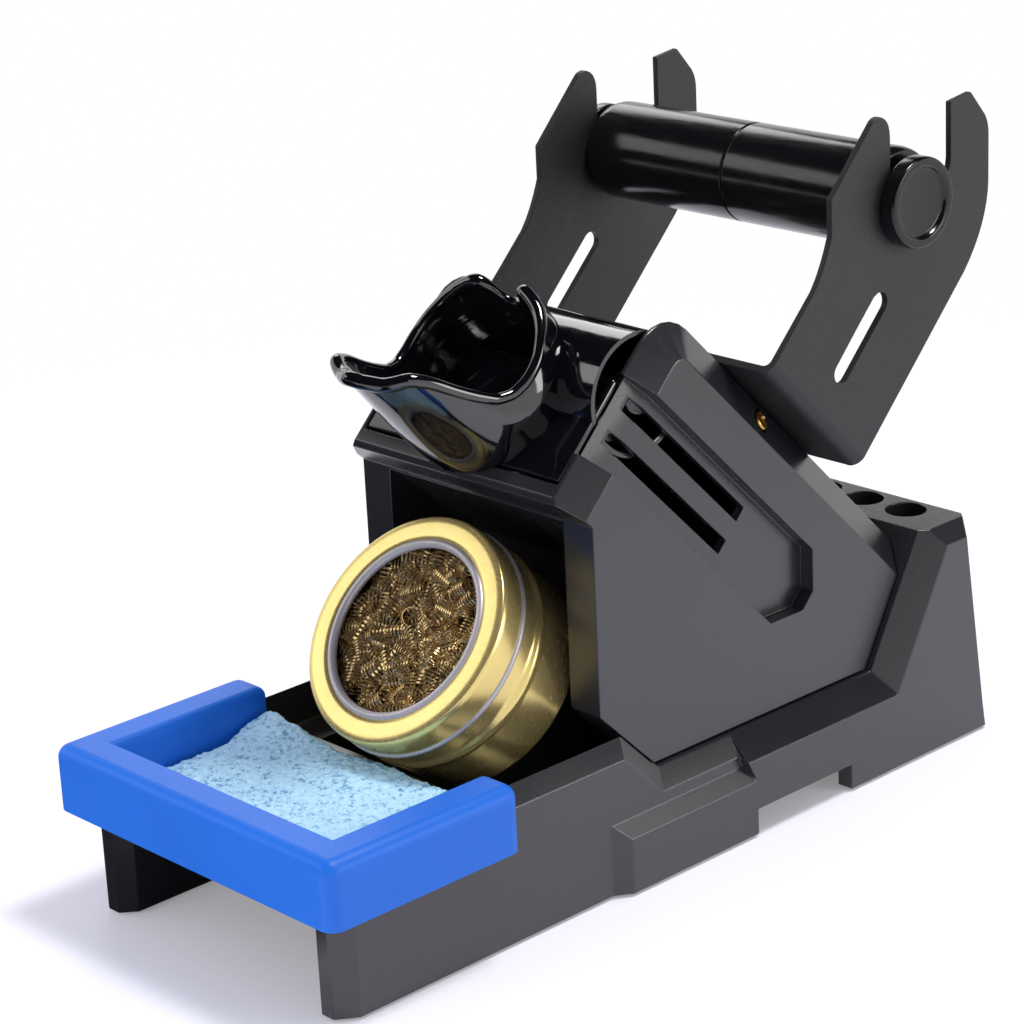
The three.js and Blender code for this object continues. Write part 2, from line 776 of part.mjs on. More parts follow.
function ironHolder() {
  const lowest = cupDown + cupRadius;
  const axisAt = (out) => onFront(cupDown, out);
  const outward = frontNormal;
  const start = [0, ...axisAt(-cupTail)];
  const total = cupTail + spoutReach + 6;
  const outerCup = toSolid(placeTurned(turned([
    [0, 0],
    [cupThroat + 2.2, 0],
    [cupThroat + 2.6, 2],
    [cupRadius - 1.4, cupTail + 1],
    [cupRadius, cupTail + 4],
    [cupRadius, total],
    [0, total],
  ], 48), start, outward));
  const bore = toSolid(placeTurned(turned([
    [0, -1],
    [cupThroat, -1],
    [cupThroat, 1.5],
    [cupBore - 1, cupTail + 5],
    [cupBore, cupTail + 12],
    [cupBore, total + 1],
    [0, total + 1],
  ], 48), start, outward));
  const rimPoints = rimLine.map(([up, out]) => new THREE.Vector2(...onFront(lowest - up, out)));
  const curve = new THREE.SplineCurve(rimPoints);
  const waste = new THREE.Shape(curve.getPoints(44));
  waste.lineTo(...onFront(lowest - 60, 8));
  waste.lineTo(...onFront(lowest - 60, 70));
  waste.lineTo(...onFront(lowest + 20, 70));
  waste.lineTo(...onFront(lowest + 20, spoutReach - 0.4));
  const cup = outerCup.subtract(across(waste, -60, 60));

  const lipClear = slopeLength - lipWidth - gap - 0.2;
  const saddleTop = barrelDown + 4;
  const skirt = across(polygon([
    onFront(lipClear, 0),
    onFront(lipClear, -saddleSkin),
    onFront(saddleTop, -saddleSkin),
    onFront(saddleTop, 0),
  ]), -saddleHalf, saddleHalf);
  const [py, pz] = pivotAt;
  const barrel = rod(barrelRadius, [-saddleHalf, py, pz], [1, 0, 0], 2 * saddleHalf, 40);
  const insideHalf = saddleHalf - barrelEnd;
  const barrelInside = rod(barrelRadius - barrelWall, [-insideHalf, py, pz], [1, 0, 0], 2 * insideHalf, 32);
  const barrelOpening = across(polygon([
    onFront(barrelDown + 9, -60),
    onFront(barrelDown - 7, -60),
    onFront(barrelDown - 7, -barrelDepth),
    onFront(barrelDown + 9, -barrelDepth),
  ]), -insideHalf, insideHalf);
  let holder = join(cup, skirt, barrel);
  holder = holder.subtract(barrelInside.subtract(outerCup));
  holder = holder.subtract(barrelOpening.subtract(outerCup));
  holder = holder.subtract(bore);
  const lipShadow = across(polygon([
    onFront(lipClear, gap),
    onFront(lipClear, -60),
    onFront(lipClear + 20, -60),
    onFront(lipClear + 20, gap),
  ]), -60, 60);
  holder = holder.subtract(lipShadow);
  for (const side of [-1, 1]) {
    const socket = rod(pinRadius + gap, [side * (saddleHalf + 1), py, pz], [-side, 0, 0], pinLength + 2);
    holder = holder.subtract(socket);
    const pocketDown = [barrelDown - 12.6, barrelDown - 4];
    const pocket = across(polygon([
      onFront(pocketDown[0], -barrelDepth + 6),
      onFront(pocketDown[1], -barrelDepth + 6),
      onFront(pocketDown[1], 10),
      onFront(pocketDown[0], 10),
    ]), side < 0 ? -saddleHalf - 1 : saddleHalf - 6.6, side < 0 ? -saddleHalf + 6.6 : saddleHalf + 1);
    holder = holder.subtract(pocket);
  }
  return holder;
}

add('iron_holder', ironHolder(), bakelite);

// ---------------------------------------------------------------- reel bracket

const armInner = armHalf - sheet;
const notchReach = journalRadius + gap;

function armOutline() {
  const shape = new THREE.Shape();
  const plateTop = gap + 6;
  const start = onRear(plateStart, plateTop);
  const backEnd = onRear(plateStart + plateLength, plateTop);
  shape.moveTo(...start);
  shape.lineTo(...onRear(plateStart, 19.5));
  const elbow = onRear(plateStart - 0.6, 24.6);
  shape.quadraticCurveTo(...elbow, armFrontY, elbow[1] + 6.5);
  shape.lineTo(armFrontY, armTopZ - 14.2);
  shape.lineTo(notchFront - 5.6, armTopZ - 1.2);
  shape.quadraticCurveTo(notchFront - 4.4, armTopZ, notchFront - 2.8, armTopZ - 0.2);
  shape.quadraticCurveTo(notchFront, armTopZ - 1, notchFront, armTopZ - 5);
  shape.lineTo(notchFront, reelZ);
  shape.absarc(notchFront + notchReach, reelZ, notchReach, Math.PI, 1.9 * Math.PI);
  shape.lineTo(notchBack - 2.4, reelZ + 2.2);
  shape.quadraticCurveTo(notchBack, reelZ + 3.4, notchBack, reelZ + 7);
  shape.lineTo(notchBack, armTopZ - 0.9);
  shape.lineTo(notchBack + 6.6, armTopZ);
  shape.lineTo(armBackY - 2, armTopZ - 4.6);
  shape.quadraticCurveTo(armBackY, armTopZ - 6.6, armBackY, armTopZ - 10);
  shape.lineTo(armBackY, reelZ - 1);
  shape.quadraticCurveTo(armBackY - 0.4, reelZ - 10, ...onRear(plateStart + plateLength, 49));
  shape.lineTo(...backEnd);
  shape.closePath();
  const slotFrom = onRear(plateStart + plateLength / 2, slotRise + slotWidth / 2);
  const slotTo = onRear(plateStart + plateLength / 2, slotRise + slotLength - slotWidth / 2);
  const slot = new THREE.Path();
  const r = slotWidth / 2;
  slot.absarc(...slotFrom, r, -1.25 * Math.PI, -0.25 * Math.PI, false);
  slot.absarc(...slotTo, r, -0.25 * Math.PI, 0.75 * Math.PI, false);
  slot.closePath();
  shape.holes.push(slot);
  return shape;
}

function channelSection() {
  const r = bendRadius;
  const rise = 9;
  const shape = new THREE.Shape();
  shape.moveTo(-armHalf, rise);
  shape.lineTo(-armHalf, r);
  shape.absarc(-armHalf + r, r, r, Math.PI, 1.5 * Math.PI);
  shape.lineTo(armHalf - r, 0);
  shape.absarc(armHalf - r, r, r, -0.5 * Math.PI, 0);
  shape.lineTo(armHalf, rise);
  shape.lineTo(armInner, rise);
  shape.lineTo(armInner, r);
  shape.absarc(armHalf - r, r, r - sheet, 0, -0.5 * Math.PI, true);
  shape.lineTo(-armHalf + r, sheet);
  shape.absarc(-armHalf + r, r, r - sheet, 1.5 * Math.PI, Math.PI, true);
  shape.lineTo(-armInner, rise);
  shape.closePath();
  return shape;
}

function reelBracket() {
  const bend = { depth: plateLength, bevelEnabled: false, curveSegments: 5 };
  const geometry = new THREE.ExtrudeGeometry(channelSection(), bend);
  const toSlope = new THREE.Matrix4().makeBasis(
    new THREE.Vector3(1, 0, 0), new THREE.Vector3(...rearNormal), new THREE.Vector3(0, -C45, C45));
  geometry.applyMatrix4(toSlope);
  const [y, z] = onRear(plateStart + plateLength, gap);
  geometry.translate(0, y, z);
  let bracket = toSolid(geometry);
  for (const side of [-1, 1]) {
    const x0 = side < 0 ? -armHalf : armInner;
    bracket = bracket.add(across(armOutline(), x0, x0 + sheet, 8));
  }
  for (const [x, down] of plateScrews) {
    const [sy, sz] = onRear(down, 10);
    bracket = bracket.subtract(rod(screwShank + gap, [x, sy, sz], [0, -C45, -C45], 14, screwFacets));
  }
  return bracket;
}

add('reel_bracket', reelBracket(), powderCoat);

// ---------------------------------------------------------------- reel roller

const tubeEnd = armInner - 0.6;
const journalStart = tubeEnd + gap;
const discStart = armHalf + 0.4;
const capFace = discStart + capWidth;

for (const side of [-1, 1]) {
  const name = side < 0 ? 'left' : 'right';
  const out = [side, 0, 0];
  const from = [0, reelY, reelZ];
  add(`reel_tube_${name}`, placeTurned(turned([
    [axleRadius + gap, tubeEnd - 2.5],
    [reelBore, tubeEnd - 2.5],
    [reelBore, seam],
    [reelRadius - 0.5, seam],
    [reelRadius, seam + 0.5],
    [reelRadius, tubeEnd - 0.8],
    [reelRadius - 0.8, tubeEnd],
    [axleRadius + gap, tubeEnd],
    [axleRadius + gap, tubeEnd - 2.5],
  ]), from, out), glossTube);
  add(`end_cap_${name}`, placeTurned(turned([
    [0, capFace - 1],
    [capRadius - 2.2, capFace - 1],
    [capRadius - 1.6, capFace],
    [capRadius - 0.5, capFace],
    [capRadius, capFace - 0.5],
    [capRadius, discStart],
    [journalRadius, discStart],
    [journalRadius, journalStart],
    [axleRadius + gap, journalStart],
    [axleRadius + gap, discStart + 1],
    [0, discStart + 1],
  ]), from, out), glossTube);
}
add('reel_axle', rod(axleRadius, [-discStart - 0.6, reelY, reelZ], [1, 0, 0], 2 * (discStart + 0.6)), zinc);

// The origin is under the middle of the station.
assembly.position.y = -baseLength / 2;

export default station;
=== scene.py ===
"""Looks of a soldering iron station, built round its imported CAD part.

Every piece is in the part's own frame: metres, +Z up, the sponge tray towards -Y.
"""

import json
import math
import random

import bmesh
import bpy
from bpy.props import FloatProperty, FloatVectorProperty, IntProperty, PointerProperty
from mathutils import Euler, Matrix, Vector, noise

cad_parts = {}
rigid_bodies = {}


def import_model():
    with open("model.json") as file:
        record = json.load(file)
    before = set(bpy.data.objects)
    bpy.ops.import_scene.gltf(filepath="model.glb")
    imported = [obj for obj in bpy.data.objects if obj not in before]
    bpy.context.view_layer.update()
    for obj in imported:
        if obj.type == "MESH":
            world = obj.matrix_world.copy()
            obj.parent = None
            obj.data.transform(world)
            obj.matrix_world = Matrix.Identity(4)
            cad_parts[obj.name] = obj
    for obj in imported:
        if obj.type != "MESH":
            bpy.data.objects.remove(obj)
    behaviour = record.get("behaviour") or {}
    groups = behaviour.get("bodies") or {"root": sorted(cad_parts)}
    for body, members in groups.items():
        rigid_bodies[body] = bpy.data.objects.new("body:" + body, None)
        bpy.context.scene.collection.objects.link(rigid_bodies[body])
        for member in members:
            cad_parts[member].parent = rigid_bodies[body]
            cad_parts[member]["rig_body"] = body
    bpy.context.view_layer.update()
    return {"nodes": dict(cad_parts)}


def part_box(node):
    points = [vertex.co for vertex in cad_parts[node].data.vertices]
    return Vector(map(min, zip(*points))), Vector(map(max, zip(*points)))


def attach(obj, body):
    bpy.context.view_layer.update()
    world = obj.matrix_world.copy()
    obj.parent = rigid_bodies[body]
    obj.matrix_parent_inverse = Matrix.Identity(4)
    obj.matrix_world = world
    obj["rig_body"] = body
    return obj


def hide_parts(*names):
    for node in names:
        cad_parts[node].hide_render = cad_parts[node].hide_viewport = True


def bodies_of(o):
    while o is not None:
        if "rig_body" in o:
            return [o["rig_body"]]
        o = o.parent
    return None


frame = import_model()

bl_info = {
    "name": "Soldering Iron Station",
    "version": (1, 0, 0),
    "blender": (4, 5, 0),
    "location": "3D View > Sidebar > Station",
    "description": "Builds the visible pieces and finishes of a soldering iron station",
    "category": "Object",
}

MM = 0.001
NODES = frame["nodes"]

# The housing's two slopes lean back at 45 degrees from a ridge across the station.
RIDGE = Vector((0.0, 5.85, 115.7)) * MM
UP_FRONT = Vector((0.0, math.sqrt(0.5), math.sqrt(0.5)))
OUT_FRONT = Vector((0.0, -math.sqrt(0.5), math.sqrt(0.5)))
DOWN_REAR = Vector((0.0, math.sqrt(0.5), -math.sqrt(0.5)))
OUT_REAR = Vector((0.0, math.sqrt(0.5), math.sqrt(0.5)))
ACROSS = Vector((1.0, 0.0, 0.0))

HOLDER_AXIS_DOWN = 26.7 * MM
TIN_FACE = Vector((0.0, -40.55, 54.3)) * MM
TIN_TILT = math.radians(40)
REEL = Vector((0.0, 64.95, 126.5)) * MM


# ------------------------------------------------------------------ sizes and colours


def colour(name, description, code):
    """A colour setting, written as an sRGB hex code."""
    return FloatVectorProperty(
        name=name, description=description, subtype="COLOR", size=4, min=0, max=1, default=linear(code)
    )


def length(name, description, millimetres):
    """A length setting, written in millimetres."""
    return FloatProperty(
        name=name, description=description, unit="LENGTH", default=millimetres * MM, min=0
    )


def linear(code):
    """An sRGB hex code such as 2a2b2d as linear red, green, blue and alpha."""
    out = []
    for start in (0, 2, 4):
        value = int(code[start : start + 2], 16) / 255
        out.append(value / 12.92 if value <= 0.04045 else ((value + 0.055) / 1.055) ** 2.4)
    return (*out, 1.0)


class StationColours(bpy.types.PropertyGroup):
    """Colours of the finishes."""

    abs_black: colour("Black ABS", "Textured moulded base and housing", "1f1f22")
    bakelite: colour("Bakelite", "Polished iron holder", "08090c")
    silicone: colour("Silicone", "Soft rim of the sponge tray", "0e63c8")
    sponge: colour("Sponge", "Compressed cellulose", "c3edfb")
    sponge_fleck: colour("Sponge fleck", "Denser fibres and pores", "2a78b4")
    lacquer: colour("Gold lacquer", "Lacquered tin plate", "ebd488")
    bare_tin: colour("Bare tin", "Rolled edges of the lid", "bdb9ba")
    turnings: colour("Brass turnings", "Curled brass wool", "fbdfa2")
    powder: colour("Powder coat", "Folded sheet bracket", "1d1d1f")
    roller: colour("Roller", "Gloss black reel roller", "0b0b0d")
    rubber: colour("Rubber", "Feet", "19191b")
    zinc: colour("Zinc plate", "Screws and axle", "b4b7bb")
    brass: colour("Brass plate", "Small screws", "c9a45c")
    floor: colour("Floor", "Pale studio floor", "f2f2f7")


class StationSizes(bpy.types.PropertyGroup):
    """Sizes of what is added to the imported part."""

    moulded_edge: length("Moulded edge", "Round along the edges of the moulded pieces", 0.3)
    silicone_edge: length("Silicone edge", "Round along the edges of the silicone", 2.75)
    sheet_edge: length("Sheet edge", "Round along the edges of the bracket", 0.25)
    bead: length("Holder bead", "Radius of the rolled rim of the funnel", 1.2)
    wool_curls: IntProperty(name="Curls", description="Curled strips in the tin", default=245, min=1)
    curl_radius: length("Curl radius", "Mean radius of one curl of brass wool", 2.0)


# ------------------------------------------------------------------ mesh helpers


def frame_matrix(origin, x_axis, y_axis, z_axis):
    """A matrix that carries a local origin and axes to the station."""
    matrix = Matrix((x_axis, y_axis, z_axis)).transposed().to_4x4()
    matrix.translation = origin
    return matrix


FUNNEL_FRAME = frame_matrix(RIDGE - UP_FRONT * HOLDER_AXIS_DOWN, ACROSS, UP_FRONT, OUT_FRONT)
TIN_OUT = Vector((0.0, -math.cos(TIN_TILT), math.sin(TIN_TILT)))
TIN_FRAME = frame_matrix(TIN_FACE, ACROSS, TIN_OUT.cross(ACROSS), TIN_OUT)


def reel_frame(side):
    """The reel's axis as local +Z, pointing out of the left (-1) or right (1) arm."""
    out = ACROSS * side
    up = Vector((0.0, 0.0, 1.0))
    return frame_matrix(REEL, up.cross(out), up, out)


def turned(profile, steps, matrix=Matrix()):
    """A mesh spun from (radius, height) pairs in millimetres about local +Z."""
    bm = bmesh.new()
    verts = [bm.verts.new((r * MM, 0, h * MM)) for r, h in profile]
    edges = [bm.edges.new(pair) for pair in zip(verts, verts[1:])]
    bmesh.ops.spin(
        bm,
        geom=verts + edges,
        cent=(0, 0, 0),
        axis=(0, 0, 1),
        dvec=(0, 0, 0),
        angle=math.tau,
        steps=steps,
        use_merge=True,
        use_duplicate=False,
    )
    bmesh.ops.remove_doubles(bm, verts=bm.verts, dist=1e-6)
    bmesh.ops.recalc_face_normals(bm, faces=bm.faces)
    bmesh.ops.transform(bm, matrix=matrix, verts=bm.verts)
    return bm


def rounded(corners, radius, steps=4):
    """A profile with its inner corners rounded; the first and last points stay."""
    points = [Vector(p) for p in corners]
    out = [tuple(points[0])]
    for before, corner, after in zip(points, points[1:], points[2:]):
        reach = min(radius, (before - corner).length / 2.1, (after - corner).length / 2.1)
        a = corner + (before - corner).normalized() * reach
        b = corner + (after - corner).normalized() * reach
        for i in range(steps + 1):
            t = i / steps
            out.append(tuple((a * (1 - t) + corner * t) * (1 - t) + (corner * (1 - t) + b * t) * t))
    out.append(tuple(points[-1]))
    return out


def copied(*nodes, closed_at=0.0, shortest=0.0):
    """A merged copy of CAD nodes with their flat faces whole, closed over a seam at x = 0.

    Edges no longer than shortest are drawn together, because a wider bevel would fold them.
    """
    bm = bmesh.new()
    for node in nodes:
        bm.from_mesh(NODES[node].data)
    bmesh.ops.remove_doubles(bm, verts=bm.verts, dist=2e-6)
    if closed_at:
        meeting = [v for v in bm.verts if abs(v.co.x) < closed_at]
        for v in meeting:
            v.co.x = 0.0
        caps = [f for f in bm.faces if all(abs(v.co.x) < 1e-6 for v in f.verts)]
        bmesh.ops.delete(bm, geom=caps, context="FACES")
        bmesh.ops.remove_doubles(bm, verts=[v for v in meeting if v.is_valid], dist=5e-6)
    bmesh.ops.dissolve_limit(bm, angle_limit=math.radians(0.8), verts=bm.verts, edges=bm.edges)
    if shortest:
        bmesh.ops.remove_doubles(bm, verts=bm.verts, dist=shortest)
    return bm


def bevel(bm, edges, width, segments):
    """Rounds edges, each side as wide as width."""
    bmesh.ops.bevel(
        bm,
        geom=edges,
        offset=width,
        offset_type="OFFSET",
        segments=segments,
        profile=0.5,
        affect="EDGES",
        clamp_overlap=False,
        material=-1,
    )


def soften(bm, width, segments=2, angle=24.0, keep=None):
    """Rounds the edges that are sharper than an angle and long enough to carry it.

    Edges with both ends inside the box keep, a pair of corners, stay sharp.
    """

    def inside(v):
        return all(keep[0][k] < v.co[k] < keep[1][k] for k in range(3))

    sharp = [
        e
        for e in bm.edges
        if len(e.link_faces) == 2
        and abs(e.calc_face_angle(0.0)) > math.radians(angle)
        and e.calc_length() > width * 2.2
        and not (keep and all(inside(v) for v in e.verts))
    ]
    bevel(bm, sharp, width, segments)
    return bm


def add_bm(bm, other):
    """Adds a second mesh to the first."""
    mesh = bpy.data.meshes.new("scrap")
    other.to_mesh(mesh)
    other.free()
    bm.from_mesh(mesh)
    bpy.data.meshes.remove(mesh)
    return bm


def piece(name, bm, body, slot, *materials, replaces=(), sharp=34.0, faceted=False, flat=1.0):
    """Makes a finished piece: smooth but for its sharp edges, painted, and riding on its body.

    On a faceted piece the large faces keep their own normals, so only the rounds shade softly;
    faces larger than flat, in square metres, are shaded quite flat.
    """
    for face in bm.faces:
        face.smooth = face.calc_area() < flat
    for edge in bm.edges:
        if len(edge.link_faces) == 2:
            edge.smooth = abs(edge.calc_face_angle(0.0)) < math.radians(sharp)
    mesh = bpy.data.meshes.new(name)
    bm.to_mesh(mesh)
    bm.free()
    obj = bpy.data.objects.new(name, mesh)
    bpy.context.scene.collection.objects.link(obj)
    for material in materials:
        mesh.materials.append(material)
    if faceted:
        weighted = obj.modifiers.new("facets", "WEIGHTED_NORMAL")
        weighted.mode = "FACE_AREA"
        weighted.weight = 100
        weighted.keep_sharp = True
    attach(obj, body)
    if replaces:
        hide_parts(*replaces)
    return obj


def paint(node, material):
    """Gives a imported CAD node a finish."""
    data = NODES[node].data
    if not data.materials:
        data.materials.append(material)
    for i in range(len(data.materials)):
        data.materials[i] = material


def body_of(node):
    """The name of the body that carries a CAD node."""
    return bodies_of(NODES[node])[0]


# ------------------------------------------------------------------ finishes


def new_material(name):
    """An empty material with its node tree."""
    material = bpy.data.materials.new(name)
    material.use_nodes = True
    material.node_tree.nodes.clear()
    return material, material.node_tree


def add_node(tree, kind, inputs=None, **settings):
    """Adds a node, sets its properties, and gives its inputs values or links."""
    made = tree.nodes.new(kind)
    for key, value in settings.items():
        setattr(made, key, value)
    for key, value in (inputs or {}).items():
        if isinstance(value, bpy.types.NodeSocket):
            tree.links.new(value, made.inputs[key])
        else:
            made.inputs[key].default_value = value
    return made


def grains(size_mm):
    """The scale of a pattern on Object coordinates whose grains are this many millimetres."""
    return 1000.0 / size_mm


def object_place(tree):
    """The Object coordinates, which every pattern is laid on."""
    return add_node(tree, "ShaderNodeTexCoord").outputs["Object"]


def mottle(tree, where, size_mm, detail, roughness):
    """A noise pattern whose grains are this many millimetres."""
    return add_node(
        tree,
        "ShaderNodeTexNoise",
        {"Vector": where, "Scale": grains(size_mm), "Detail": detail, "Roughness": roughness},
    )


def spread(tree, pattern, taken, given):
    """Carries a pattern's values from the span taken to the span given."""
    return add_node(
        tree,
        "ShaderNodeMapRange",
        {
            "Value": pattern.outputs[0],
            "From Min": taken[0],
            "From Max": taken[1],
            "To Min": given[0],
            "To Max": given[1],
        },
    )


def blend(tree, pattern, low, high):
    """A colour that goes from low to high with a pattern."""
    mixed = add_node(
        tree, "ShaderNodeMix", {"Factor": pattern.outputs[0], "A": low, "B": high}, data_type="RGBA"
    )
    return mixed.outputs["Result"]


def relief(tree, pattern, strength, depth_mm):
    """The fine relief that a pattern gives the surface."""
    bump = add_node(
        tree,
        "ShaderNodeBump",
        {"Height": pattern.outputs[0], "Strength": strength, "Distance": depth_mm * MM},
    )
    return bump.outputs[0]


def shade(base, share):
    """A colour made darker or lighter."""
    return (*(min(1.0, c * share) for c in base[:3]), 1.0)


def finish_with(tree, kind, inputs):
    """Ends a material with its shader."""
    shader = add_node(tree, kind, inputs)
    add_node(tree, "ShaderNodeOutputMaterial", {"Surface": shader.outputs[0]})


def moulded_abs():
    # Injection-moulded ABS from a spark-eroded tool: an even fine grain that keeps it satin,
    # with faint cloudiness from handling.
    material, tree = new_material("abs_spark_textured")
    black = bpy.context.scene.station_colours.abs_black
    where = object_place(tree)
    grain = mottle(tree, where, 0.35, 3.0, 0.6)
    cloud = mottle(tree, where, 26, 3.0, 0.55)
    inputs = {
        "Base Color": blend(tree, cloud, shade(black, 0.86), shade(black, 1.14)),
        "Roughness": spread(tree, cloud, (0.3, 0.7), (0.24, 0.3)).outputs[0],
        "IOR": 1.53,
        "Specular IOR Level": 0.76,
        "Normal": relief(tree, grain, 0.25, 0.1),
    }
    finish_with(tree, "ShaderNodeBsdfPrincipled", inputs)
    return material


def polished_bakelite():
    # Compression-moulded phenolic from a polished tool: nearly black, glassy, and very
    # slightly wavy where the wall shrank, so reflections bend a little.
    material, tree = new_material("bakelite_polished")
    where = object_place(tree)
    wave = mottle(tree, where, 9, 1.0, 0.4)
    haze = mottle(tree, where, 3, 4.0, 0.6)
    inputs = {
        "Base Color": tuple(bpy.context.scene.station_colours.bakelite),
        "Roughness": spread(tree, haze, (0.35, 0.75), (0.05, 0.13)).outputs[0],
        "IOR": 1.58,
        "Specular IOR Level": 0.85,
        "Normal": relief(tree, wave, 0.25, 0.4),
    }
    finish_with(tree, "ShaderNodeBsdfPrincipled", inputs)
    return material


def blue_silicone():
    # Liquid silicone rubber moulded in a matt tool: saturated, soft highlights, a little dust.
    material, tree = new_material("silicone_matt_moulded")
    blue = bpy.context.scene.station_colours.silicone
    where = object_place(tree)
    cloud = mottle(tree, where, 18, 4.0, 0.6)
    skin = mottle(tree, where, 0.6, 3.0, 0.6)
    dusty = (*(min(1.0, c * 1.08 + 0.004) for c in blue[:3]), 1.0)
    inputs = {
        "Base Color": blend(tree, cloud, shade(blue, 0.9), dusty),
        "Roughness": spread(tree, skin, (0.3, 0.7), (0.38, 0.5)).outputs[0],
        "IOR": 1.41,
        "Normal": relief(tree, skin, 0.2, 0.08),
    }
    finish_with(tree, "ShaderNodeBsdfPrincipled", inputs)
    return material


def cellulose():
    # Compressed cellulose sponge: pale, fibrous, with darker pores and pressed fibres.
    material, tree = new_material("cellulose_sponge_pressed")
    colours = bpy.context.scene.station_colours
    where = object_place(tree)
    pores = add_node(
        tree, "ShaderNodeTexVoronoi", {"Vector": where, "Scale": grains(1.5), "Randomness": 1.0}
    )
    fibres = mottle(tree, where, 1.1, 6.0, 0.7)
    flecks = mottle(tree, where, 1.5, 6.0, 0.8)
    spots = spread(tree, flecks, (0.5, 0.62), (0.0, 0.85))
    veins = spread(tree, fibres, (0.35, 0.65), (0.25, 0.0))
    amount = add_node(
        tree, "ShaderNodeMath", {0: spots.outputs[0], 1: veins.outputs[0]}, operation="MAXIMUM"
    )
    rough = add_node(
        tree, "ShaderNodeMath", {0: fibres.outputs[0], 1: pores.outputs["Distance"]}, operation="ADD"
    )
    inputs = {
        "Base Color": blend(tree, amount, tuple(colours.sponge), tuple(colours.sponge_fleck)),
        "Roughness": 0.92,
        "Specular IOR Level": 0.2,
        "Normal": relief(tree, rough, 0.8, 0.5),
    }
    finish_with(tree, "ShaderNodeBsdfPrincipled", inputs)
    return material


def lacquered_tin(name, base, polish, metal):
    # Tin plate under clear or gold lacquer, drawn to a cup: bright, with the fine
    # lengthwise rolling grain of the sheet and soft dents in the reflection.
    material, tree = new_material(name)
    where = object_place(tree)
    stretch = add_node(tree, "ShaderNodeMapping", {"Vector": where, "Scale": (1.0, 14.0, 1.0)})
    grain = mottle(tree, stretch.outputs[0], 3.0, 4.0, 0.6)
    dents = mottle(tree, where, 14, 1.0, 0.4)
    inputs = {
        "Base Color": blend(tree, dents, shade(base, 0.9), tuple(base)),
        "Metallic": metal,
        "Roughness": spread(tree, grain, (0.3, 0.7), polish).outputs[0],
        "Normal": relief(tree, dents, 0.04, 0.5),
    }
    finish_with(tree, "ShaderNodeBsdfPrincipled", inputs)
    return material


def brass_turnings(name, share):
    # Curled brass swarf: bright strips, browner in random patches where they are old. Share scales the
    # whole colour down; the copy at 0.12 on the wool's core is painted shade for the depth of the pad.
    material, tree = new_material(name)
    where = object_place(tree)
    age = mottle(tree, where, 4, 3.0, 0.6)
    lines = mottle(tree, where, 0.5, 2.0, 0.5)
    bright = shade(bpy.context.scene.station_colours.turnings, share)
    brown = tuple(c * f for c, f in zip(bright, (0.6, 0.52, 0.46))) + (1.0,)
    inputs = {
        "Base Color": blend(tree, age, bright, brown),
        "Metallic": 0.9,
        "Roughness": spread(tree, lines, (0.3, 0.7), (0.2, 0.36)).outputs[0],
    }
    finish_with(tree, "ShaderNodeBsdfPrincipled", inputs)
    return material


def powder_coat():
    # Black polyester powder baked on steel sheet: a fine orange peel under a satin skin.
    material, tree = new_material("powder_coat_satin")
    black = bpy.context.scene.station_colours.powder
    where = object_place(tree)
    peel = mottle(tree, where, 0.7, 2.0, 0.5)
    cloud = mottle(tree, where, 30, 2.0, 0.5)
    inputs = {
        "Base Color": blend(tree, cloud, shade(black, 0.9), shade(black, 1.1)),
        "Roughness": spread(tree, peel, (0.3, 0.7), (0.46, 0.58)).outputs[0],
        "Normal": relief(tree, peel, 0.35, 0.12),
    }
    finish_with(tree, "ShaderNodeBsdfPrincipled", inputs)
    return material


def gloss_roller():
    # Extruded and moulded gloss black plastic: polished, with faint lengthwise rubbing marks.
    material, tree = new_material("roller_gloss_plastic")
    where = object_place(tree)
    stretch = add_node(tree, "ShaderNodeMapping", {"Vector": where, "Scale": (1.0, 8.0, 8.0)})
    rub = mottle(tree, stretch.outputs[0], 9, 4.0, 0.65)
    inputs = {
        "Base Color": tuple(bpy.context.scene.station_colours.roller),
        "Roughness": spread(tree, rub, (0.3, 0.7), (0.12, 0.24)).outputs[0],
        "IOR": 1.5,
        "Normal": relief(tree, rub, 0.1, 0.2),
    }
    finish_with(tree, "ShaderNodeBsdfPrincipled", inputs)
    return material


def plated(name, base):
    # Plated steel screw or axle: bright metal with fine turning marks.
    material, tree = new_material(name)
    marks = mottle(tree, object_place(tree), 0.5, 3.0, 0.6)
    inputs = {
        "Base Color": tuple(base),
        "Metallic": 1.0,
        "Roughness": spread(tree, marks, (0.3, 0.7), (0.22, 0.4)).outputs[0],
        "Normal": relief(tree, marks, 0.15, 0.05),
    }
    finish_with(tree, "ShaderNodeBsdfPrincipled", inputs)
    return material


def foot_rubber():
    # Die-cut rubber sheet: dull, slightly dusty.
    material, tree = new_material("rubber_sheet_matt")
    black = bpy.context.scene.station_colours.rubber
    dust = mottle(tree, object_place(tree), 1.2, 4.0, 0.7)
    inputs = {
        "Base Color": blend(tree, dust, tuple(black), shade(black, 1.8)),
        "Roughness": 0.85,
        "Normal": relief(tree, dust, 0.3, 0.1),
    }
    finish_with(tree, "ShaderNodeBsdfPrincipled", inputs)
    return material


# ------------------------------------------------------------------ pieces


class STATION_OT_base(bpy.types.Operator):
    """Builds the moulded base frame and its rubber feet"""

    bl_idname = "station.base"
    bl_label = "Base Frame"

    def execute(self, context):
        sizes = context.scene.station_sizes
        # The tin's ribs end too close to the back of their well for rounds of this size.
        well = (Vector((-26, -49, 15)) * MM, Vector((26, 1, 60)) * MM)
        bm = soften(copied("base_frame", shortest=0.21 * MM), sizes.moulded_edge, keep=well)
        piece(
            "base",
            bm,
            body_of("base_frame"),
            "black_abs",
            moulded_abs(),
            replaces=["base_frame"],
            faceted=True,
        )
        rubber = foot_rubber()
        for node in NODES:
            if node.startswith("foot_"):
                paint(node, rubber)
        return {"FINISHED"}


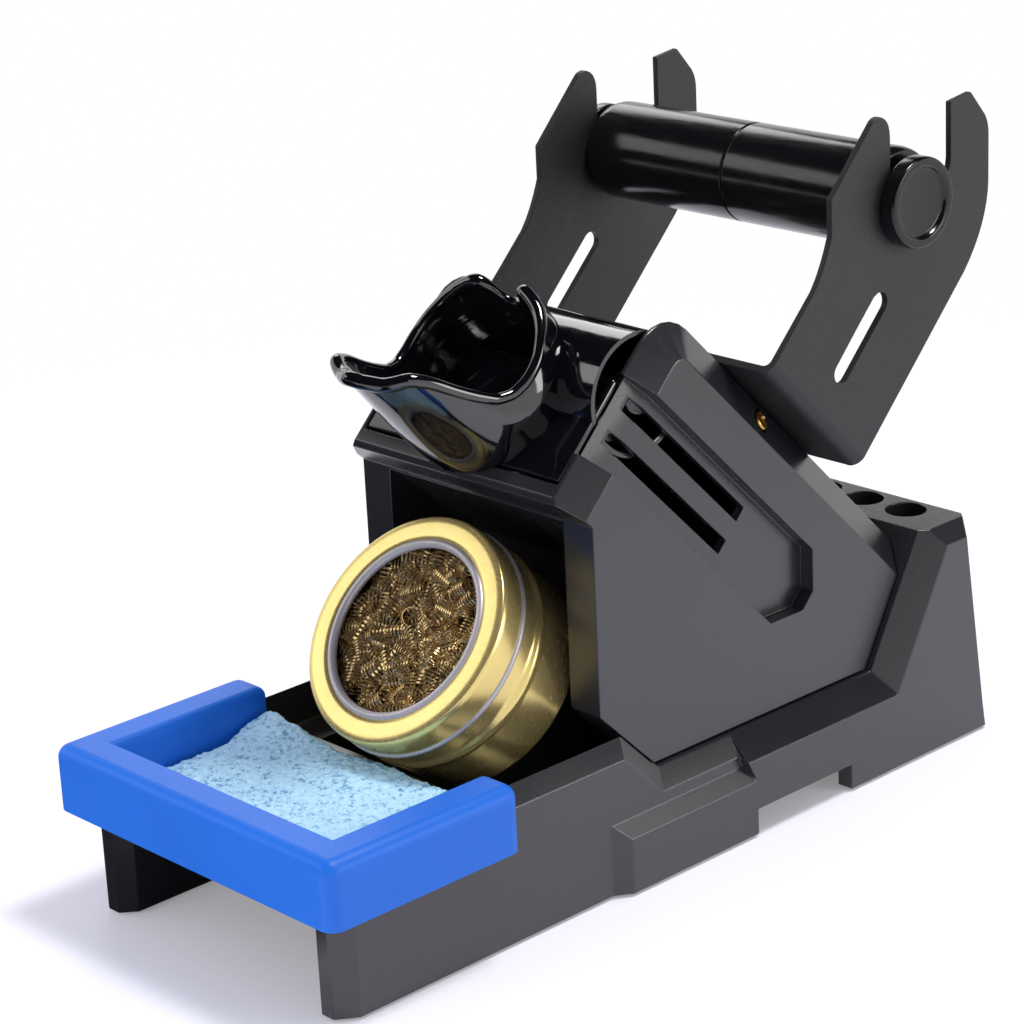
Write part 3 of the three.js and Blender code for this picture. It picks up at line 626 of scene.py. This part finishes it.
class STATION_OT_housing(bpy.types.Operator):
    """Builds the ridged housing, its two moulded halves closed on each other"""

    bl_idname = "station.housing"
    bl_label = "Housing"

    def execute(self, context):
        sizes = context.scene.station_sizes
        halves = ["housing_left", "housing_right"]
        bm = copied(*halves, closed_at=0.16 * MM)
        soften(bm, sizes.moulded_edge)
        piece(
            "housing", bm, body_of(halves[0]), "black_abs", moulded_abs(), replaces=halves, faceted=True
        )
        return {"FINISHED"}


class STATION_OT_silicone(bpy.types.Operator):
    """Builds the soft rim that grips the sponge tray"""

    bl_idname = "station.silicone"
    bl_label = "Silicone Rim"

    # Thickness of the rubber over the tray's wall and width of the whole rim, in millimetres.
    ROOF = 2.9
    ACROSS = 8.7

    def execute(self, context):
        sizes = context.scene.station_sizes
        low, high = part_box("silicone_rim")
        half = (high.x - low.x) / 2
        bm = bmesh.new()
        strips = []
        # Lines of the plan, from the outer face inwards: how far in from it, and the slot between.
        lines = [self.line(bm, low, high, half, inset * MM) for inset in (0.0, 4.2, 7.6, self.ACROSS)]
        for outer, inner in zip(lines, lines[1:]):
            quads = zip(zip(outer, outer[1:]), zip(inner, inner[1:]))
            strips.append([bm.faces.new((a, b, d, c)) for (a, b), (c, d) in quads])
        under = high.z - self.ROOF * MM
        bmesh.ops.translate(bm, vec=(0, 0, under), verts=bm.verts)
        # The arms' ends are solid, so the two end faces of the slot's strip go down as well.
        skirts = strips[0] + strips[2] + [strips[1][0], strips[1][-1]]
        top = bmesh.ops.extrude_face_region(bm, geom=[f for s in strips for f in s], use_keep_orig=True)
        moved = [g for g in top["geom"] if isinstance(g, bmesh.types.BMVert)]
        bmesh.ops.translate(bm, vec=(0, 0, self.ROOF * MM), verts=moved)
        hems = bmesh.ops.extrude_face_region(bm, geom=skirts)
        moved = [g for g in hems["geom"] if isinstance(g, bmesh.types.BMVert)]
        bmesh.ops.translate(bm, vec=(0, 0, low.z - under), verts=moved)
        bmesh.ops.remove_doubles(bm, verts=bm.verts, dist=1e-6)
        bmesh.ops.recalc_face_normals(bm, faces=bm.faces)
        bmesh.ops.dissolve_limit(bm, angle_limit=math.radians(1), verts=bm.verts, edges=bm.edges)
        self.round_off(bm, low, high, half, sizes.silicone_edge)
        piece(
            "soft_rim",
            bm,
            body_of("silicone_rim"),
            "blue_silicone",
            blue_silicone(),
            replaces=["silicone_rim"],
            sharp=50,
            flat=1.2e-4,
        )
        return {"FINISHED"}

    @staticmethod
    def line(bm, low, high, half, inset):
        """One U-shaped line of the plan, from the rear of the left arm to that of the right."""
        x = half - inset
        y = low.y + inset
        end = high.y - 5.5 * MM
        path = [(-x, high.y, 0), (-x, end, 0), (-x, y, 0), (x, y, 0), (x, end, 0), (x, high.y, 0)]
        return [bm.verts.new(co) for co in path]

    def round_off(self, bm, low, high, half, edge):
        """Rounds the outer corners, then the rim's outer edges with its ends, then the inner edges."""

        def picked(pick):
            return [e for e in bm.edges if len(e.link_faces) == 2 and pick(e)]

        def at(e, axis, value):
            return all(abs(v.co[axis] - value) < 1e-5 for v in e.verts)

        def upright(e):
            a, b = (v.co for v in e.verts)
            return (a - b).xy.length < 1e-6

        def insets(e):
            return [min(half - abs(v.co.x), v.co.y - low.y) / MM for v in e.verts]

        def sharp(e):
            above = any(v.co.z > low.z + 1e-5 for v in e.verts)
            inner_corner = upright(e) and not at(e, 1, high.y)
            return above and not inner_corner and abs(e.calc_face_angle(0.0)) > 0.6

        def outer(e):
            end_of_arm = at(e, 2, high.z) and at(e, 1, high.y)
            return sharp(e) and (max(insets(e)) < 1.0 or end_of_arm)

        def inner(e):
            return sharp(e) and min(insets(e)) > self.ACROSS - 0.05

        bevel(bm, picked(lambda e: upright(e) and at(e, 1, low.y)), 3.0 * MM, 7)
        bevel(bm, picked(outer), edge, 6)
        bevel(bm, picked(inner), 0.7 * MM, 3)


class STATION_OT_sponge(bpy.types.Operator):
    """Builds the wavy sponge in the tray"""

    bl_idname = "station.sponge"
    bl_label = "Sponge"

    def execute(self, context):
        low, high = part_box("sponge")
        centre = (low + high) / 2
        size = high - low
        bm = bmesh.new()
        bmesh.ops.create_cube(bm, size=1.0)
        bmesh.ops.scale(bm, vec=size, verts=bm.verts)
        for axis, cuts in ((0, 150), (1, 88), (2, 7)):
            along = [e for e in bm.edges if abs((e.verts[0].co - e.verts[1].co)[axis]) > size[axis] * 0.5]
            bmesh.ops.subdivide_edges(bm, edges=along, cuts=cuts, use_grid_fill=True)
        for v in bm.verts:
            self.press(v, size)
        bmesh.ops.translate(bm, vec=centre, verts=bm.verts)
        bmesh.ops.recalc_face_normals(bm, faces=bm.faces)
        pad = piece(
            "sponge_pad", bm, body_of("sponge"), "cellulose", cellulose(), replaces=["sponge"], sharp=180
        )
        return {"FINISHED"}

    @staticmethod
    def press(v, size):
        """Waves the slab, roughens its skin and frays its edges."""
        half = size / 2
        p = v.co.copy()
        lift = (p.z + half.z) / size.z
        edge_x = max(0.0, abs(p.x) / half.x - 0.86) / 0.14
        edge_y = max(0.0, abs(p.y) / half.y - 0.78) / 0.22
        wave = noise.noise(Vector((p.x * 45, p.y * 60, 3.0)))
        curl = max(0.0, -p.x / half.x) ** 2 * max(0.0, p.y / half.y) ** 2
        fine = noise.fractal(Vector((p.x * 900, p.y * 900, p.z * 900)), 0.9, 2.0, 4)
        fray = noise.fractal(Vector((p.x * 300, p.y * 300, 7.0 + p.z * 200)), 1.0, 2.0, 3)
        v.co.z += lift * (wave * 1.3 * MM + curl * 2.2 * MM + fine * 0.3 * MM)
        v.co.z -= lift * (edge_x**2 + edge_y**2) * 0.7 * MM
        v.co.z += max(0.0, p.y / half.y) ** 1.5 * 1.6 * MM
        v.co.x -= math.copysign(edge_x * (0.5 + 0.9 * fray) * MM * 0.8, p.x)
        v.co.y -= math.copysign(edge_y * (0.5 + 0.9 * fray) * MM * 0.8, p.y)


class STATION_OT_tin(bpy.types.Operator):
    """Builds the wool tin: its drawn body and its lid with a rolled opening"""

    bl_idname = "station.tin"
    bl_label = "Wool Tin"

    def execute(self, context):
        colours = context.scene.station_colours
        gold = lacquered_tin("tin_plate_gold_lacquer", colours.lacquer, (0.22, 0.28), 0.78)
        bare = lacquered_tin("tin_plate_bare", colours.bare_tin, (0.36, 0.46), 0.5)
        body = rounded(
            [
                (0, -26.2), (21.4, -26.2), (21.9, -26.95), (22.8, -27), (24.1, -25.6), (24.1, -14.6),
                (24.85, -13.4), (24.85, -12.6), (24.1, -11.4), (24.1, -0.95), (23.5, -0.95),
                (23.5, -25.9), (0, -25.9),
            ],
            0.5,
        )
        piece("tin_cup", turned(body, 128, TIN_FRAME), "tin", "gold_tin", gold, replaces=["tin_body"])
        lid = rounded(
            [
                (19.4, -0.62), (19.4, -0.28), (20.2, 0.0), (23.2, 0.0), (24.4, -0.25), (24.7, -1.3),
                (24.6, -6.25), (24.4, -6.5), (24.2, -6.35), (24.2, -1.0), (23.8, -0.62), (19.4, -0.62),
            ],
            0.45,
        )
        bm = turned(lid, 160, TIN_FRAME)
        self.roll(bm, 18.7, -0.72, 0.95)
        self.roll(bm, 24.25, -6.8, 0.74)
        piece("tin_cover", bm, "lid", "gold_tin", gold, bare, replaces=["tin_lid"])
        return {"FINISHED"}

    @staticmethod
    def roll(bm, radius, height, thickness):
        """Adds the bare rolled wire edge at a radius and height of the tin."""
        around = 14
        turns = [math.tau * i / around for i in range(around + 1)]
        ring = [(radius + thickness * math.cos(a), height + thickness * math.sin(a)) for a in turns]
        wire = turned(ring, 160, TIN_FRAME)
        for face in wire.faces:
            face.material_index = 1
        add_bm(bm, wire)


class STATION_OT_wool(bpy.types.Operator):
    """Fills the tin with curled brass strips over a core whose brass is painted dark as shade"""

    bl_idname = "station.wool"
    bl_label = "Brass Wool"

    def execute(self, context):
        sizes = context.scene.station_sizes
        heap = [(0, -4.6), (12, -4.8), (21, -5.8), (22.6, -9), (22.6, -25.4), (0, -25.4)]
        core = turned(heap, 64, TIN_FRAME)
        # The core takes the second finish: the same brass darkened, painted shade for the depth of the
        # pad.
        for face in core.faces:
            face.material_index = 1
        pick = random.Random(7)
        for _ in range(sizes.wool_curls):
            add_bm(core, self.curl(pick, sizes.curl_radius / MM))
        strips = brass_turnings("brass_turnings_curled", 1.0)
        # Brass darkened to 12 percent: painted shade for the depth of the pad under the curls.
        painted_shade_brass = brass_turnings("brass_turnings_painted_shade", 0.12)
        piece("wool", core, "tin", "brass_curls", strips, painted_shade_brass, replaces=["brass_wool"], sharp=60)
        return {"FINISHED"}

    @staticmethod
    def curl(pick, mean):
        """One coiled strip lying in the mouth of the tin."""
        turns = pick.uniform(5.0, 9.5)
        radius = mean * pick.uniform(0.5, 1.15)
        pitch = pick.uniform(0.62, 1.0)
        steps = int(turns * 11)
        width = pick.uniform(0.14, 0.24)
        bm = bmesh.new()
        square = [
            bm.verts.new(((radius + a * width * 0.35) * MM, 0, b * width * MM))
            for a, b in ((-1, -1), (1, -1), (1, 1), (-1, 1))
        ]
        edges = [bm.edges.new((square[i], square[(i + 1) % 4])) for i in range(4)]
        face = bm.faces.new(square)
        bmesh.ops.spin(
            bm,
            geom=[face, *edges, *square],
            cent=(0, 0, 0),
            axis=(0, 0, 1),
            dvec=(0, 0, pitch * turns / steps * MM),
            angle=math.tau * turns,
            steps=steps,
            use_merge=False,
            use_duplicate=False,
        )
        bmesh.ops.recalc_face_normals(bm, faces=bm.faces)
        bmesh.ops.translate(bm, vec=(0, 0, -pitch * turns * MM / 2), verts=bm.verts)
        widest = 18.0
        reach = widest * math.sqrt(pick.random())
        around = pick.uniform(0, math.tau)
        tilt = Euler((pick.uniform(1.0, 2.1), pick.uniform(-0.5, 0.5), pick.uniform(0, math.tau)))
        depth = -2.9 - pick.uniform(0, 1.4) - 1.3 * (reach / widest) ** 2
        middle = Vector((reach * math.cos(around), reach * math.sin(around), depth)) * MM
        place = Matrix.Translation(middle)
        bmesh.ops.transform(bm, matrix=TIN_FRAME @ place @ tilt.to_matrix().to_4x4(), verts=bm.verts)
        return bm


class STATION_OT_holder(bpy.types.Operator):
    """Builds the funnel that the iron rests in, its barrel and its skirt"""

    bl_idname = "station.holder"
    bl_label = "Iron Holder"

    # Height of the rim above the slope, going round from the spout's lowest line: degrees, mm.
    RIM = (
        (0, 34.4), (10, 32.9), (20, 31.2), (30, 30.9), (37, 30.7), (43, 29.0), (48, 26.2), (53, 22.6),
        (58, 19.2), (62, 16.4), (69, 12.9), (79, 10.9), (91, 10.2), (104, 10.3), (120, 11.0),
        (137, 11.6), (150, 12.4), (159, 12.9), (164, 10.6), (169, 7.8), (174, 6.6), (180, 6.2),
    )
    # How far the rim flares out past the wall, by the same angles.
    FLARE = (
        (0, 0.9), (20, 0.4), (50, 0.2), (80, 0.3), (110, 1.0), (140, 1.7), (158, 1.5), (172, 0.3),
        (180, 0.0),
    )
    # How thick the bead is along the rim: fuller round the spout and at the two ears.
    FULL = ((0, 1.3), (30, 1.25), (55, 1.0), (120, 1.0), (145, 1.3), (158, 1.35), (170, 0.8), (180, 0.7))
    # Radius of the bead's line, and the heights between which the wall is drawn to the rim's line.
    WALL = 17.0
    HIP = 4.6
    TOP = 40.0

    def execute(self, context):
        sizes = context.scene.station_sizes
        gloss = polished_bakelite()
        bm = self.funnel()
        add_bm(bm, self.rim_bead(sizes.bead))
        add_bm(bm, self.barrel())
        add_bm(bm, self.skirt())
        piece("holder_moulding", bm, "holder", "bakelite", gloss, replaces=["iron_holder"], sharp=40)
        return {"FINISHED"}

    @staticmethod
    def between(table, degrees):
        """Reads a table of (angle, value) smoothly, the same on both sides."""
        angle = abs((degrees + 180) % 360 - 180)
        for (a, u), (b, v) in zip(table, table[1:]):
            if angle <= b:
                t = (angle - a) / (b - a)
                t = t * t * (3 - 2 * t) * 0.5 + t * 0.5
                return u + (v - u) * t
        return table[-1][1]

    def funnel(self):
        """The wall of the funnel: spun, then drawn up to the rim's line and flared."""
        outer = [(14.6, -8.4), (17.0, -5.6), (18.5, -2.4), (18.9, 0.34), (18.9, 0.4)]
        outer += [(19.1, self.HIP), (19.1, 8.0)]
        outer += [(19.1 - 1.9 * (i / 16) ** 1.5, 8.0 + 2 * i) for i in range(1, 17)]
        inner = [(15.6 + 0.5 * (h - 8.0) / 32, h) for r, h in reversed(outer[7:])]
        inner += [(15.7, 8.0), (15.2, 4.0), (14.2, -0.4), (12.6, -4.4), (10.6, -8.4), (13.6, -8.4)]
        bm = turned(outer + inner, 192)
        for v in bm.verts:
            flat = Vector((v.co.x, v.co.y))
            degrees = math.degrees(math.atan2(v.co.x, -v.co.y))
            rise = v.co.z / MM
            if rise < 0.37:
                # Its foot stops short of the hood's lip, and the wall above clears it.
                v.co.y = max(v.co.y, -14.6 * MM)
            if rise > self.HIP:
                share = (rise - self.HIP) / (self.TOP - self.HIP)
                top = self.between(self.RIM, degrees)
                v.co.z = (self.HIP + share * (top - self.HIP)) * MM
                out = self.between(self.FLARE, degrees) * share**2.2 * MM
                flat += flat.normalized() * out
                v.co.x, v.co.y = flat
        bmesh.ops.transform(bm, matrix=FUNNEL_FRAME, verts=bm.verts)
        return bm

    def rim_bead(self, radius):
        """The rolled bead that follows the rim."""
        curve = bpy.data.curves.new("bead", "CURVE")
        curve.dimensions = "3D"
        curve.bevel_depth = radius
        curve.bevel_resolution = 5
        curve.resolution_u = 4
        spline = curve.splines.new("NURBS")
        count = 96
        spline.points.add(count - 1)
        for i in range(count):
            degrees = 360 * i / count
            out = (self.WALL + self.between(self.FLARE, degrees)) * MM
            height = self.between(self.RIM, degrees) * MM
            a = math.radians(degrees)
            on_rim = FUNNEL_FRAME @ Vector((out * math.sin(a), -out * math.cos(a), height))
            spline.points[i].co = (*on_rim, 1)
            spline.points[i].radius = self.between(self.FULL, degrees)
        spline.use_cyclic_u = True
        spline.order_u = 4
        obj = bpy.data.objects.new("bead", curve)
        mesh = obj.to_mesh()
        bm = bmesh.new()
        bm.from_mesh(mesh)
        obj.to_mesh_clear()
        bpy.data.objects.remove(obj)
        bpy.data.curves.remove(curve)
        bmesh.ops.remove_doubles(bm, verts=bm.verts, dist=1e-6)
        bmesh.ops.recalc_face_normals(bm, faces=bm.faces)
        return bm

    def barrel(self):
        """The barrel across the top of the housing, with its ends rounded and their pockets."""
        pivot = RIDGE - UP_FRONT * 16.7 * MM - OUT_FRONT * 7.4 * MM
        across = frame_matrix(pivot, UP_FRONT, OUT_FRONT, UP_FRONT.cross(OUT_FRONT))
        rim = [(0, 21.5), (11.3, 21.5), (11.3, 28.2), (12.8, 28.2)]
        neck = [(0, -23.4), (4.4, -23.4), (4.4, -28.2), (5.8, -28.2), (5.8, -21.0), (12.8, -21.0)]
        plain = [(12.8, float(h)) for h in range(-20, 21)]
        bm = turned(rounded(neck, 0.5) + plain + rounded(rim, 0.7)[::-1], 96, across)
        # The funnel's bore opens into it, inside the foot of the funnel's wall.
        to_funnel = FUNNEL_FRAME.inverted()
        centres = {f: to_funnel @ f.calc_center_median() for f in bm.faces}
        opened = [f for f, c in centres.items() if c.xy.length < 16.9 * MM and c.z > -7.0 * MM]
        bmesh.ops.delete(bm, geom=opened, context="FACES")
        return bm

    def skirt(self):
        """The flat skirt from the barrel down to the hood's lip."""
        bm = bmesh.new()
        bmesh.ops.create_cube(bm, size=1.0)
        bmesh.ops.scale(bm, vec=Vector((56.2, 23.6, 2.2)) * MM, verts=bm.verts)
        soften(bm, 0.7 * MM, segments=3)
        middle = RIDGE - UP_FRONT * (29.4 * MM) - OUT_FRONT * (1.1 * MM)
        bmesh.ops.transform(bm, matrix=frame_matrix(middle, ACROSS, UP_FRONT, OUT_FRONT), verts=bm.verts)
        return bm


class STATION_OT_bracket(bpy.types.Operator):
    """Builds the folded sheet bracket that carries the reel"""

    bl_idname = "station.bracket"
    bl_label = "Reel Bracket"

    def execute(self, context):
        sizes = context.scene.station_sizes
        bm = soften(copied("reel_bracket"), sizes.sheet_edge, angle=30)
        piece(
            "bracket_sheet",
            bm,
            body_of("reel_bracket"),
            "powder_coat",
            powder_coat(),
            replaces=["reel_bracket"],
            faceted=True,
        )
        return {"FINISHED"}


class STATION_OT_reel(bpy.types.Operator):
    """Builds the reel's roller, its end caps and its axle"""

    bl_idname = "station.reel"
    bl_label = "Reel Roller"

    def execute(self, context):
        gloss = gloss_roller()
        for side, name in ((-1, "left"), (1, "right")):
            tube = rounded(
                [
                    (3.3, 37.9), (8.7, 37.9), (8.7, 0.15), (10.55, 0.15), (10.7, 0.4), (10.7, 38.6),
                    (10.2, 40.4), (3.3, 40.4), (3.3, 37.9),
                ],
                0.7,
            )
            bm = turned(tube, 128, reel_frame(side))
            node = "reel_tube_" + name
            piece("sleeve_" + name, bm, body_of(node), "gloss_tube", gloss, replaces=[node])
            cap = rounded(
                [
                    (0, 45.5), (7.0, 45.5), (7.5, 46.5), (9.2, 46.5), (9.5, 45.9), (9.5, 42.9),
                    (5.5, 42.9), (5.5, 40.7), (3.3, 40.7), (3.3, 43.9), (0, 43.9),
                ],
                0.45,
            )
            bm = turned(cap, 112, reel_frame(side))
            node = "end_cap_" + name
            piece("knob_" + name, bm, body_of(node), "gloss_tube", gloss, replaces=[node])
        paint("reel_axle", plated("steel_axle_plated", context.scene.station_colours.zinc))
        return {"FINISHED"}


class STATION_OT_screws(bpy.types.Operator):
    """Builds the headed screws with their cross recesses"""

    bl_idname = "station.screws"
    bl_label = "Screws"

    def execute(self, context):
        colours = context.scene.station_colours
        brass = plated("screw_brass_plated", colours.brass)
        zinc = plated("screw_zinc_plated", colours.zinc)
        for node in NODES:
            if "_screw_" in node:
                finish = zinc if node.startswith("base_") else brass
                slot = "zinc" if node.startswith("base_") else "brass"
                self.screw(node, finish, slot)
        return {"FINISHED"}

    def screw(self, node, finish, slot):
        """A pan head with a cross recess on a plain shank, where the CAD screw is."""
        if node.startswith("side_"):
            head = [(0, 0), (1.7, 0), (2.1, -0.3), (2.1, -1.0), (1.35, -1.1), (1.35, -6.9), (0, -6.9)]
        else:
            end = -14.8 if node.startswith("base_") else -10.8
            head = [
                (0, 0), (1.6, -0.05), (2.6, -0.5), (2.9, -1.2), (2.9, -1.9), (1.35, -1.9), (1.35, end),
                (0, end),
            ]
        low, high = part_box(node)
        centre = (low + high) / 2
        out = self.direction(node)
        reach = self.length_of(node) * MM / 2
        side = ACROSS if abs(out.x) < 0.5 else Vector((0, 0, 1))
        up = out.cross(side).normalized()
        side = up.cross(out)
        matrix = frame_matrix(centre + out * reach, side, up, out)
        bm = turned(rounded(head, 0.15, 2), 40)
        self.recess(bm)
        bmesh.ops.transform(bm, matrix=matrix, verts=bm.verts)
        piece(node + "_head", bm, body_of(node), slot, finish, replaces=[node])

    @staticmethod
    def length_of(node):
        """Head and shank together, in millimetres."""
        if node.startswith("side_"):
            return 7.0
        return 14.9 if node.startswith("base_") else 10.9

    @staticmethod
    def direction(node):
        """Which way a screw's head faces."""
        if node.startswith("base_"):
            return Vector((0, 0, -1))
        if node.startswith("bracket_"):
            return OUT_REAR.copy()
        side = -1 if node.endswith("left") else 1
        return Vector((side * 6.6, math.sqrt(0.5) * 4.7, math.sqrt(0.5) * 4.7)).normalized()

    @staticmethod
    def recess(bm):
        """Presses the cross into the top of the head."""
        top = {f for f in bm.faces if f.calc_center_median().z > -0.2 * MM}
        edges = [e for e in bm.edges if any(f in top for f in e.link_faces)]
        bmesh.ops.subdivide_edges(bm, edges=edges, cuts=3, use_grid_fill=True)
        for v in bm.verts:
            x, y = abs(v.co.x) / MM, abs(v.co.y) / MM
            if v.co.z > -0.3 * MM and min(x, y) < 0.26 and max(x, y) < 1.35:
                v.co.z -= 0.55 * MM


# ------------------------------------------------------------------ stage


class STATION_OT_stage(bpy.types.Operator):
    """Sets the pale floor, the soft lamps, the world and the camera"""

    bl_idname = "station.stage"
    bl_label = "Studio Stage"

    def execute(self, context):
        self.floor(context)
        self.world(context)
        self.lamp("top_softbox", (0.20, 0.18, 0.92), (0.22, 0.22), 6.0, (0, 0, 0.03))
        self.lamp("back_softbox", (-0.62, 0.42, 0.56), (0.34, 0.26), 0.9, (0, 0.03, 0.08))
        self.lamp("right_softbox", (0.80, 0.42, 0.30), (0.40, 0.40), 2.1, (0, 0, 0.06))
        self.lamp("left_softbox", (-0.69, -0.57, 0.54), (0.42, 0.36), 0.9, (0, -0.04, 0.06))
        fill = self.lamp("front_fill", (-0.05, -0.90, 0.22), (0.6, 0.4), 3.8, (0, -0.03, 0.04))
        fill.visible_glossy = False
        self.flag(context, "low_flag", (-0.33, -0.38, 0.0006), (0.68, 0.66), (0, 0, 0))
        self.flag(context, "front_flag", (-0.4, -1.15, 1.1), (3.2, 2.16), (90, 0, 0))
        self.flag(context, "top_flag", (0.3, 0.5, 1.3), (4.6, 4.0), (0, 0, 0))
        self.camera(context)
        context.scene.view_settings.view_transform = "Standard"
        return {"FINISHED"}

    @staticmethod
    def board(context, name, size, place=Matrix()):
        """A flat sheet of the stage."""
        bm = bmesh.new()
        bmesh.ops.create_grid(bm, x_segments=1, y_segments=1, size=0.5)
        bmesh.ops.scale(bm, vec=(*size, 1), verts=bm.verts)
        bmesh.ops.transform(bm, matrix=place, verts=bm.verts)
        mesh = bpy.data.meshes.new(name)
        bm.to_mesh(mesh)
        bm.free()
        obj = bpy.data.objects.new(name, mesh)
        context.scene.collection.objects.link(obj)
        return obj

    def floor(self, context):
        obj = self.board(context, "studio_floor", (12.0, 12.0))
        # Matt pale sweep: white paper that shows what stands on it as a soft grey shade.
        material, tree = new_material("floor_paper_matt")
        paper = add_node(
            tree,
            "ShaderNodeBsdfDiffuse",
            {"Color": tuple(context.scene.station_colours.floor), "Roughness": 0.0},
        )
        glow = add_node(tree, "ShaderNodeEmission", {"Color": (1, 1, 1, 1), "Strength": 1.0})
        path = add_node(tree, "ShaderNodeLightPath")
        seen = self.seen(tree, path)
        away = add_node(tree, "ShaderNodeVectorMath", {0: object_place(tree)}, operation="LENGTH")
        fade = add_node(
            tree,
            "ShaderNodeMapRange",
            {
                "Value": away.outputs["Value"],
                "From Min": 0.14,
                "From Max": 0.42,
                "To Min": 0.22,
                "To Max": 1.0,
            },
            interpolation_type="SMOOTHSTEP",
        )
        lift = add_node(tree, "ShaderNodeMath", {0: seen, 1: fade.outputs[0]}, operation="MULTIPLY")
        inputs = {0: lift.outputs[0], 1: paper.outputs[0], 2: glow.outputs[0]}
        finish_with(tree, "ShaderNodeMixShader", inputs)
        obj.data.materials.append(material)

    @staticmethod
    def seen(tree, path):
        """1 for rays from the camera and for mirror and glass rays, 0 for soft light."""
        first = add_node(
            tree,
            "ShaderNodeMath",
            {0: path.outputs["Is Camera Ray"], 1: path.outputs["Is Glossy Ray"]},
            operation="MAXIMUM",
        )
        both = add_node(
            tree,
            "ShaderNodeMath",
            {0: first.outputs[0], 1: path.outputs["Is Transmission Ray"]},
            operation="MAXIMUM",
        )
        return both.outputs[0]

    def world(self, context):
        world = bpy.data.worlds.new("studio")
        context.scene.world = world
        world.use_nodes = True
        tree = world.node_tree
        tree.nodes.clear()
        room = add_node(tree, "ShaderNodeBackground", {"Color": linear("e9e6ff"), "Strength": 0.6})
        white = add_node(tree, "ShaderNodeBackground", {"Color": (1, 1, 1, 1), "Strength": 1.0})
        path = add_node(tree, "ShaderNodeLightPath")
        mix = add_node(
            tree,
            "ShaderNodeMixShader",
            {0: self.seen(tree, path), 1: room.outputs[0], 2: white.outputs[0]},
        )
        add_node(tree, "ShaderNodeOutputWorld", {"Surface": mix.outputs[0]})

    @staticmethod
    def lamp(name, place, size, power, target):
        data = bpy.data.lights.new(name, "AREA")
        data.shape = "RECTANGLE"
        data.size, data.size_y = size
        data.energy = power
        obj = bpy.data.objects.new(name, data)
        bpy.context.scene.collection.objects.link(obj)
        obj.location = place
        aim = Vector(target) - Vector(place)
        obj.rotation_euler = aim.to_track_quat("-Z", "Y").to_euler()
        return obj

    def flag(self, context, name, place, size, turn):
        """A black flag of the dark room round the station, which only reflections see."""
        turned_to = Euler([math.radians(a) for a in turn]).to_matrix().to_4x4()
        obj = self.board(context, name, size, Matrix.Translation(place) @ turned_to)
        # Black duvetyn cloth: takes all the light it gets.
        material, tree = new_material(name + "_duvetyn")
        inputs = {"Color": linear("161619"), "Roughness": 0.0}
        finish_with(tree, "ShaderNodeBsdfDiffuse", inputs)
        obj.data.materials.append(material)
        obj.visible_camera = False
        obj.visible_diffuse = False
        obj.visible_shadow = False

    @staticmethod
    def camera(context):
        azimuth, elevation, roll = (math.radians(a) for a in (47.47, 19.273, -2.811))
        back = Vector(
            (
                math.sin(azimuth) * math.cos(elevation),
                -math.cos(azimuth) * math.cos(elevation),
                math.sin(elevation),
            )
        )
        right = Vector((0, 0, 1)).cross(back).normalized()
        up = back.cross(right)
        x_axis = right * math.cos(roll) + up * math.sin(roll)
        y_axis = -right * math.sin(roll) + up * math.cos(roll)
        data = bpy.data.cameras.new("camera")
        data.sensor_width = 36.0
        data.lens = 109.46
        data.clip_start = 0.02
        data.clip_end = 20.0
        obj = bpy.data.objects.new("camera", data)
        context.scene.collection.objects.link(obj)
        place = Vector((0.441023, -0.414261, 0.279592))
        obj.matrix_world = frame_matrix(place, x_axis, y_axis, back)
        context.scene.camera = obj


class STATION_PT_panel(bpy.types.Panel):
    """Lists the station's pieces in the sidebar"""

    bl_idname = "STATION_PT_panel"
    bl_label = "Soldering Iron Station"
    bl_space_type = "VIEW_3D"
    bl_region_type = "UI"
    bl_category = "Station"

    def draw(self, context):
        layout = self.layout
        for group in (context.scene.station_sizes, context.scene.station_colours):
            column = layout.column()
            for name in group.__annotations__:
                column.prop(group, name)
        for operator in BUILDERS:
            layout.operator(operator.bl_idname)


BUILDERS = (
    STATION_OT_base,
    STATION_OT_housing,
    STATION_OT_silicone,
    STATION_OT_sponge,
    STATION_OT_tin,
    STATION_OT_wool,
    STATION_OT_holder,
    STATION_OT_bracket,
    STATION_OT_reel,
    STATION_OT_screws,
    STATION_OT_stage,
)
CLASSES = (StationColours, StationSizes, *BUILDERS, STATION_PT_panel)


def register():
    for cls in CLASSES:
        bpy.utils.register_class(cls)
    bpy.types.Scene.station_colours = PointerProperty(type=StationColours)
    bpy.types.Scene.station_sizes = PointerProperty(type=StationSizes)


def unregister():
    del bpy.types.Scene.station_sizes
    del bpy.types.Scene.station_colours
    for cls in reversed(CLASSES):
        bpy.utils.unregister_class(cls)


def main():
    register()
    for operator in BUILDERS:
        group, name = operator.bl_idname.split(".")
        getattr(getattr(bpy.ops, group), name)()


if __name__ == "__main__":
    main()
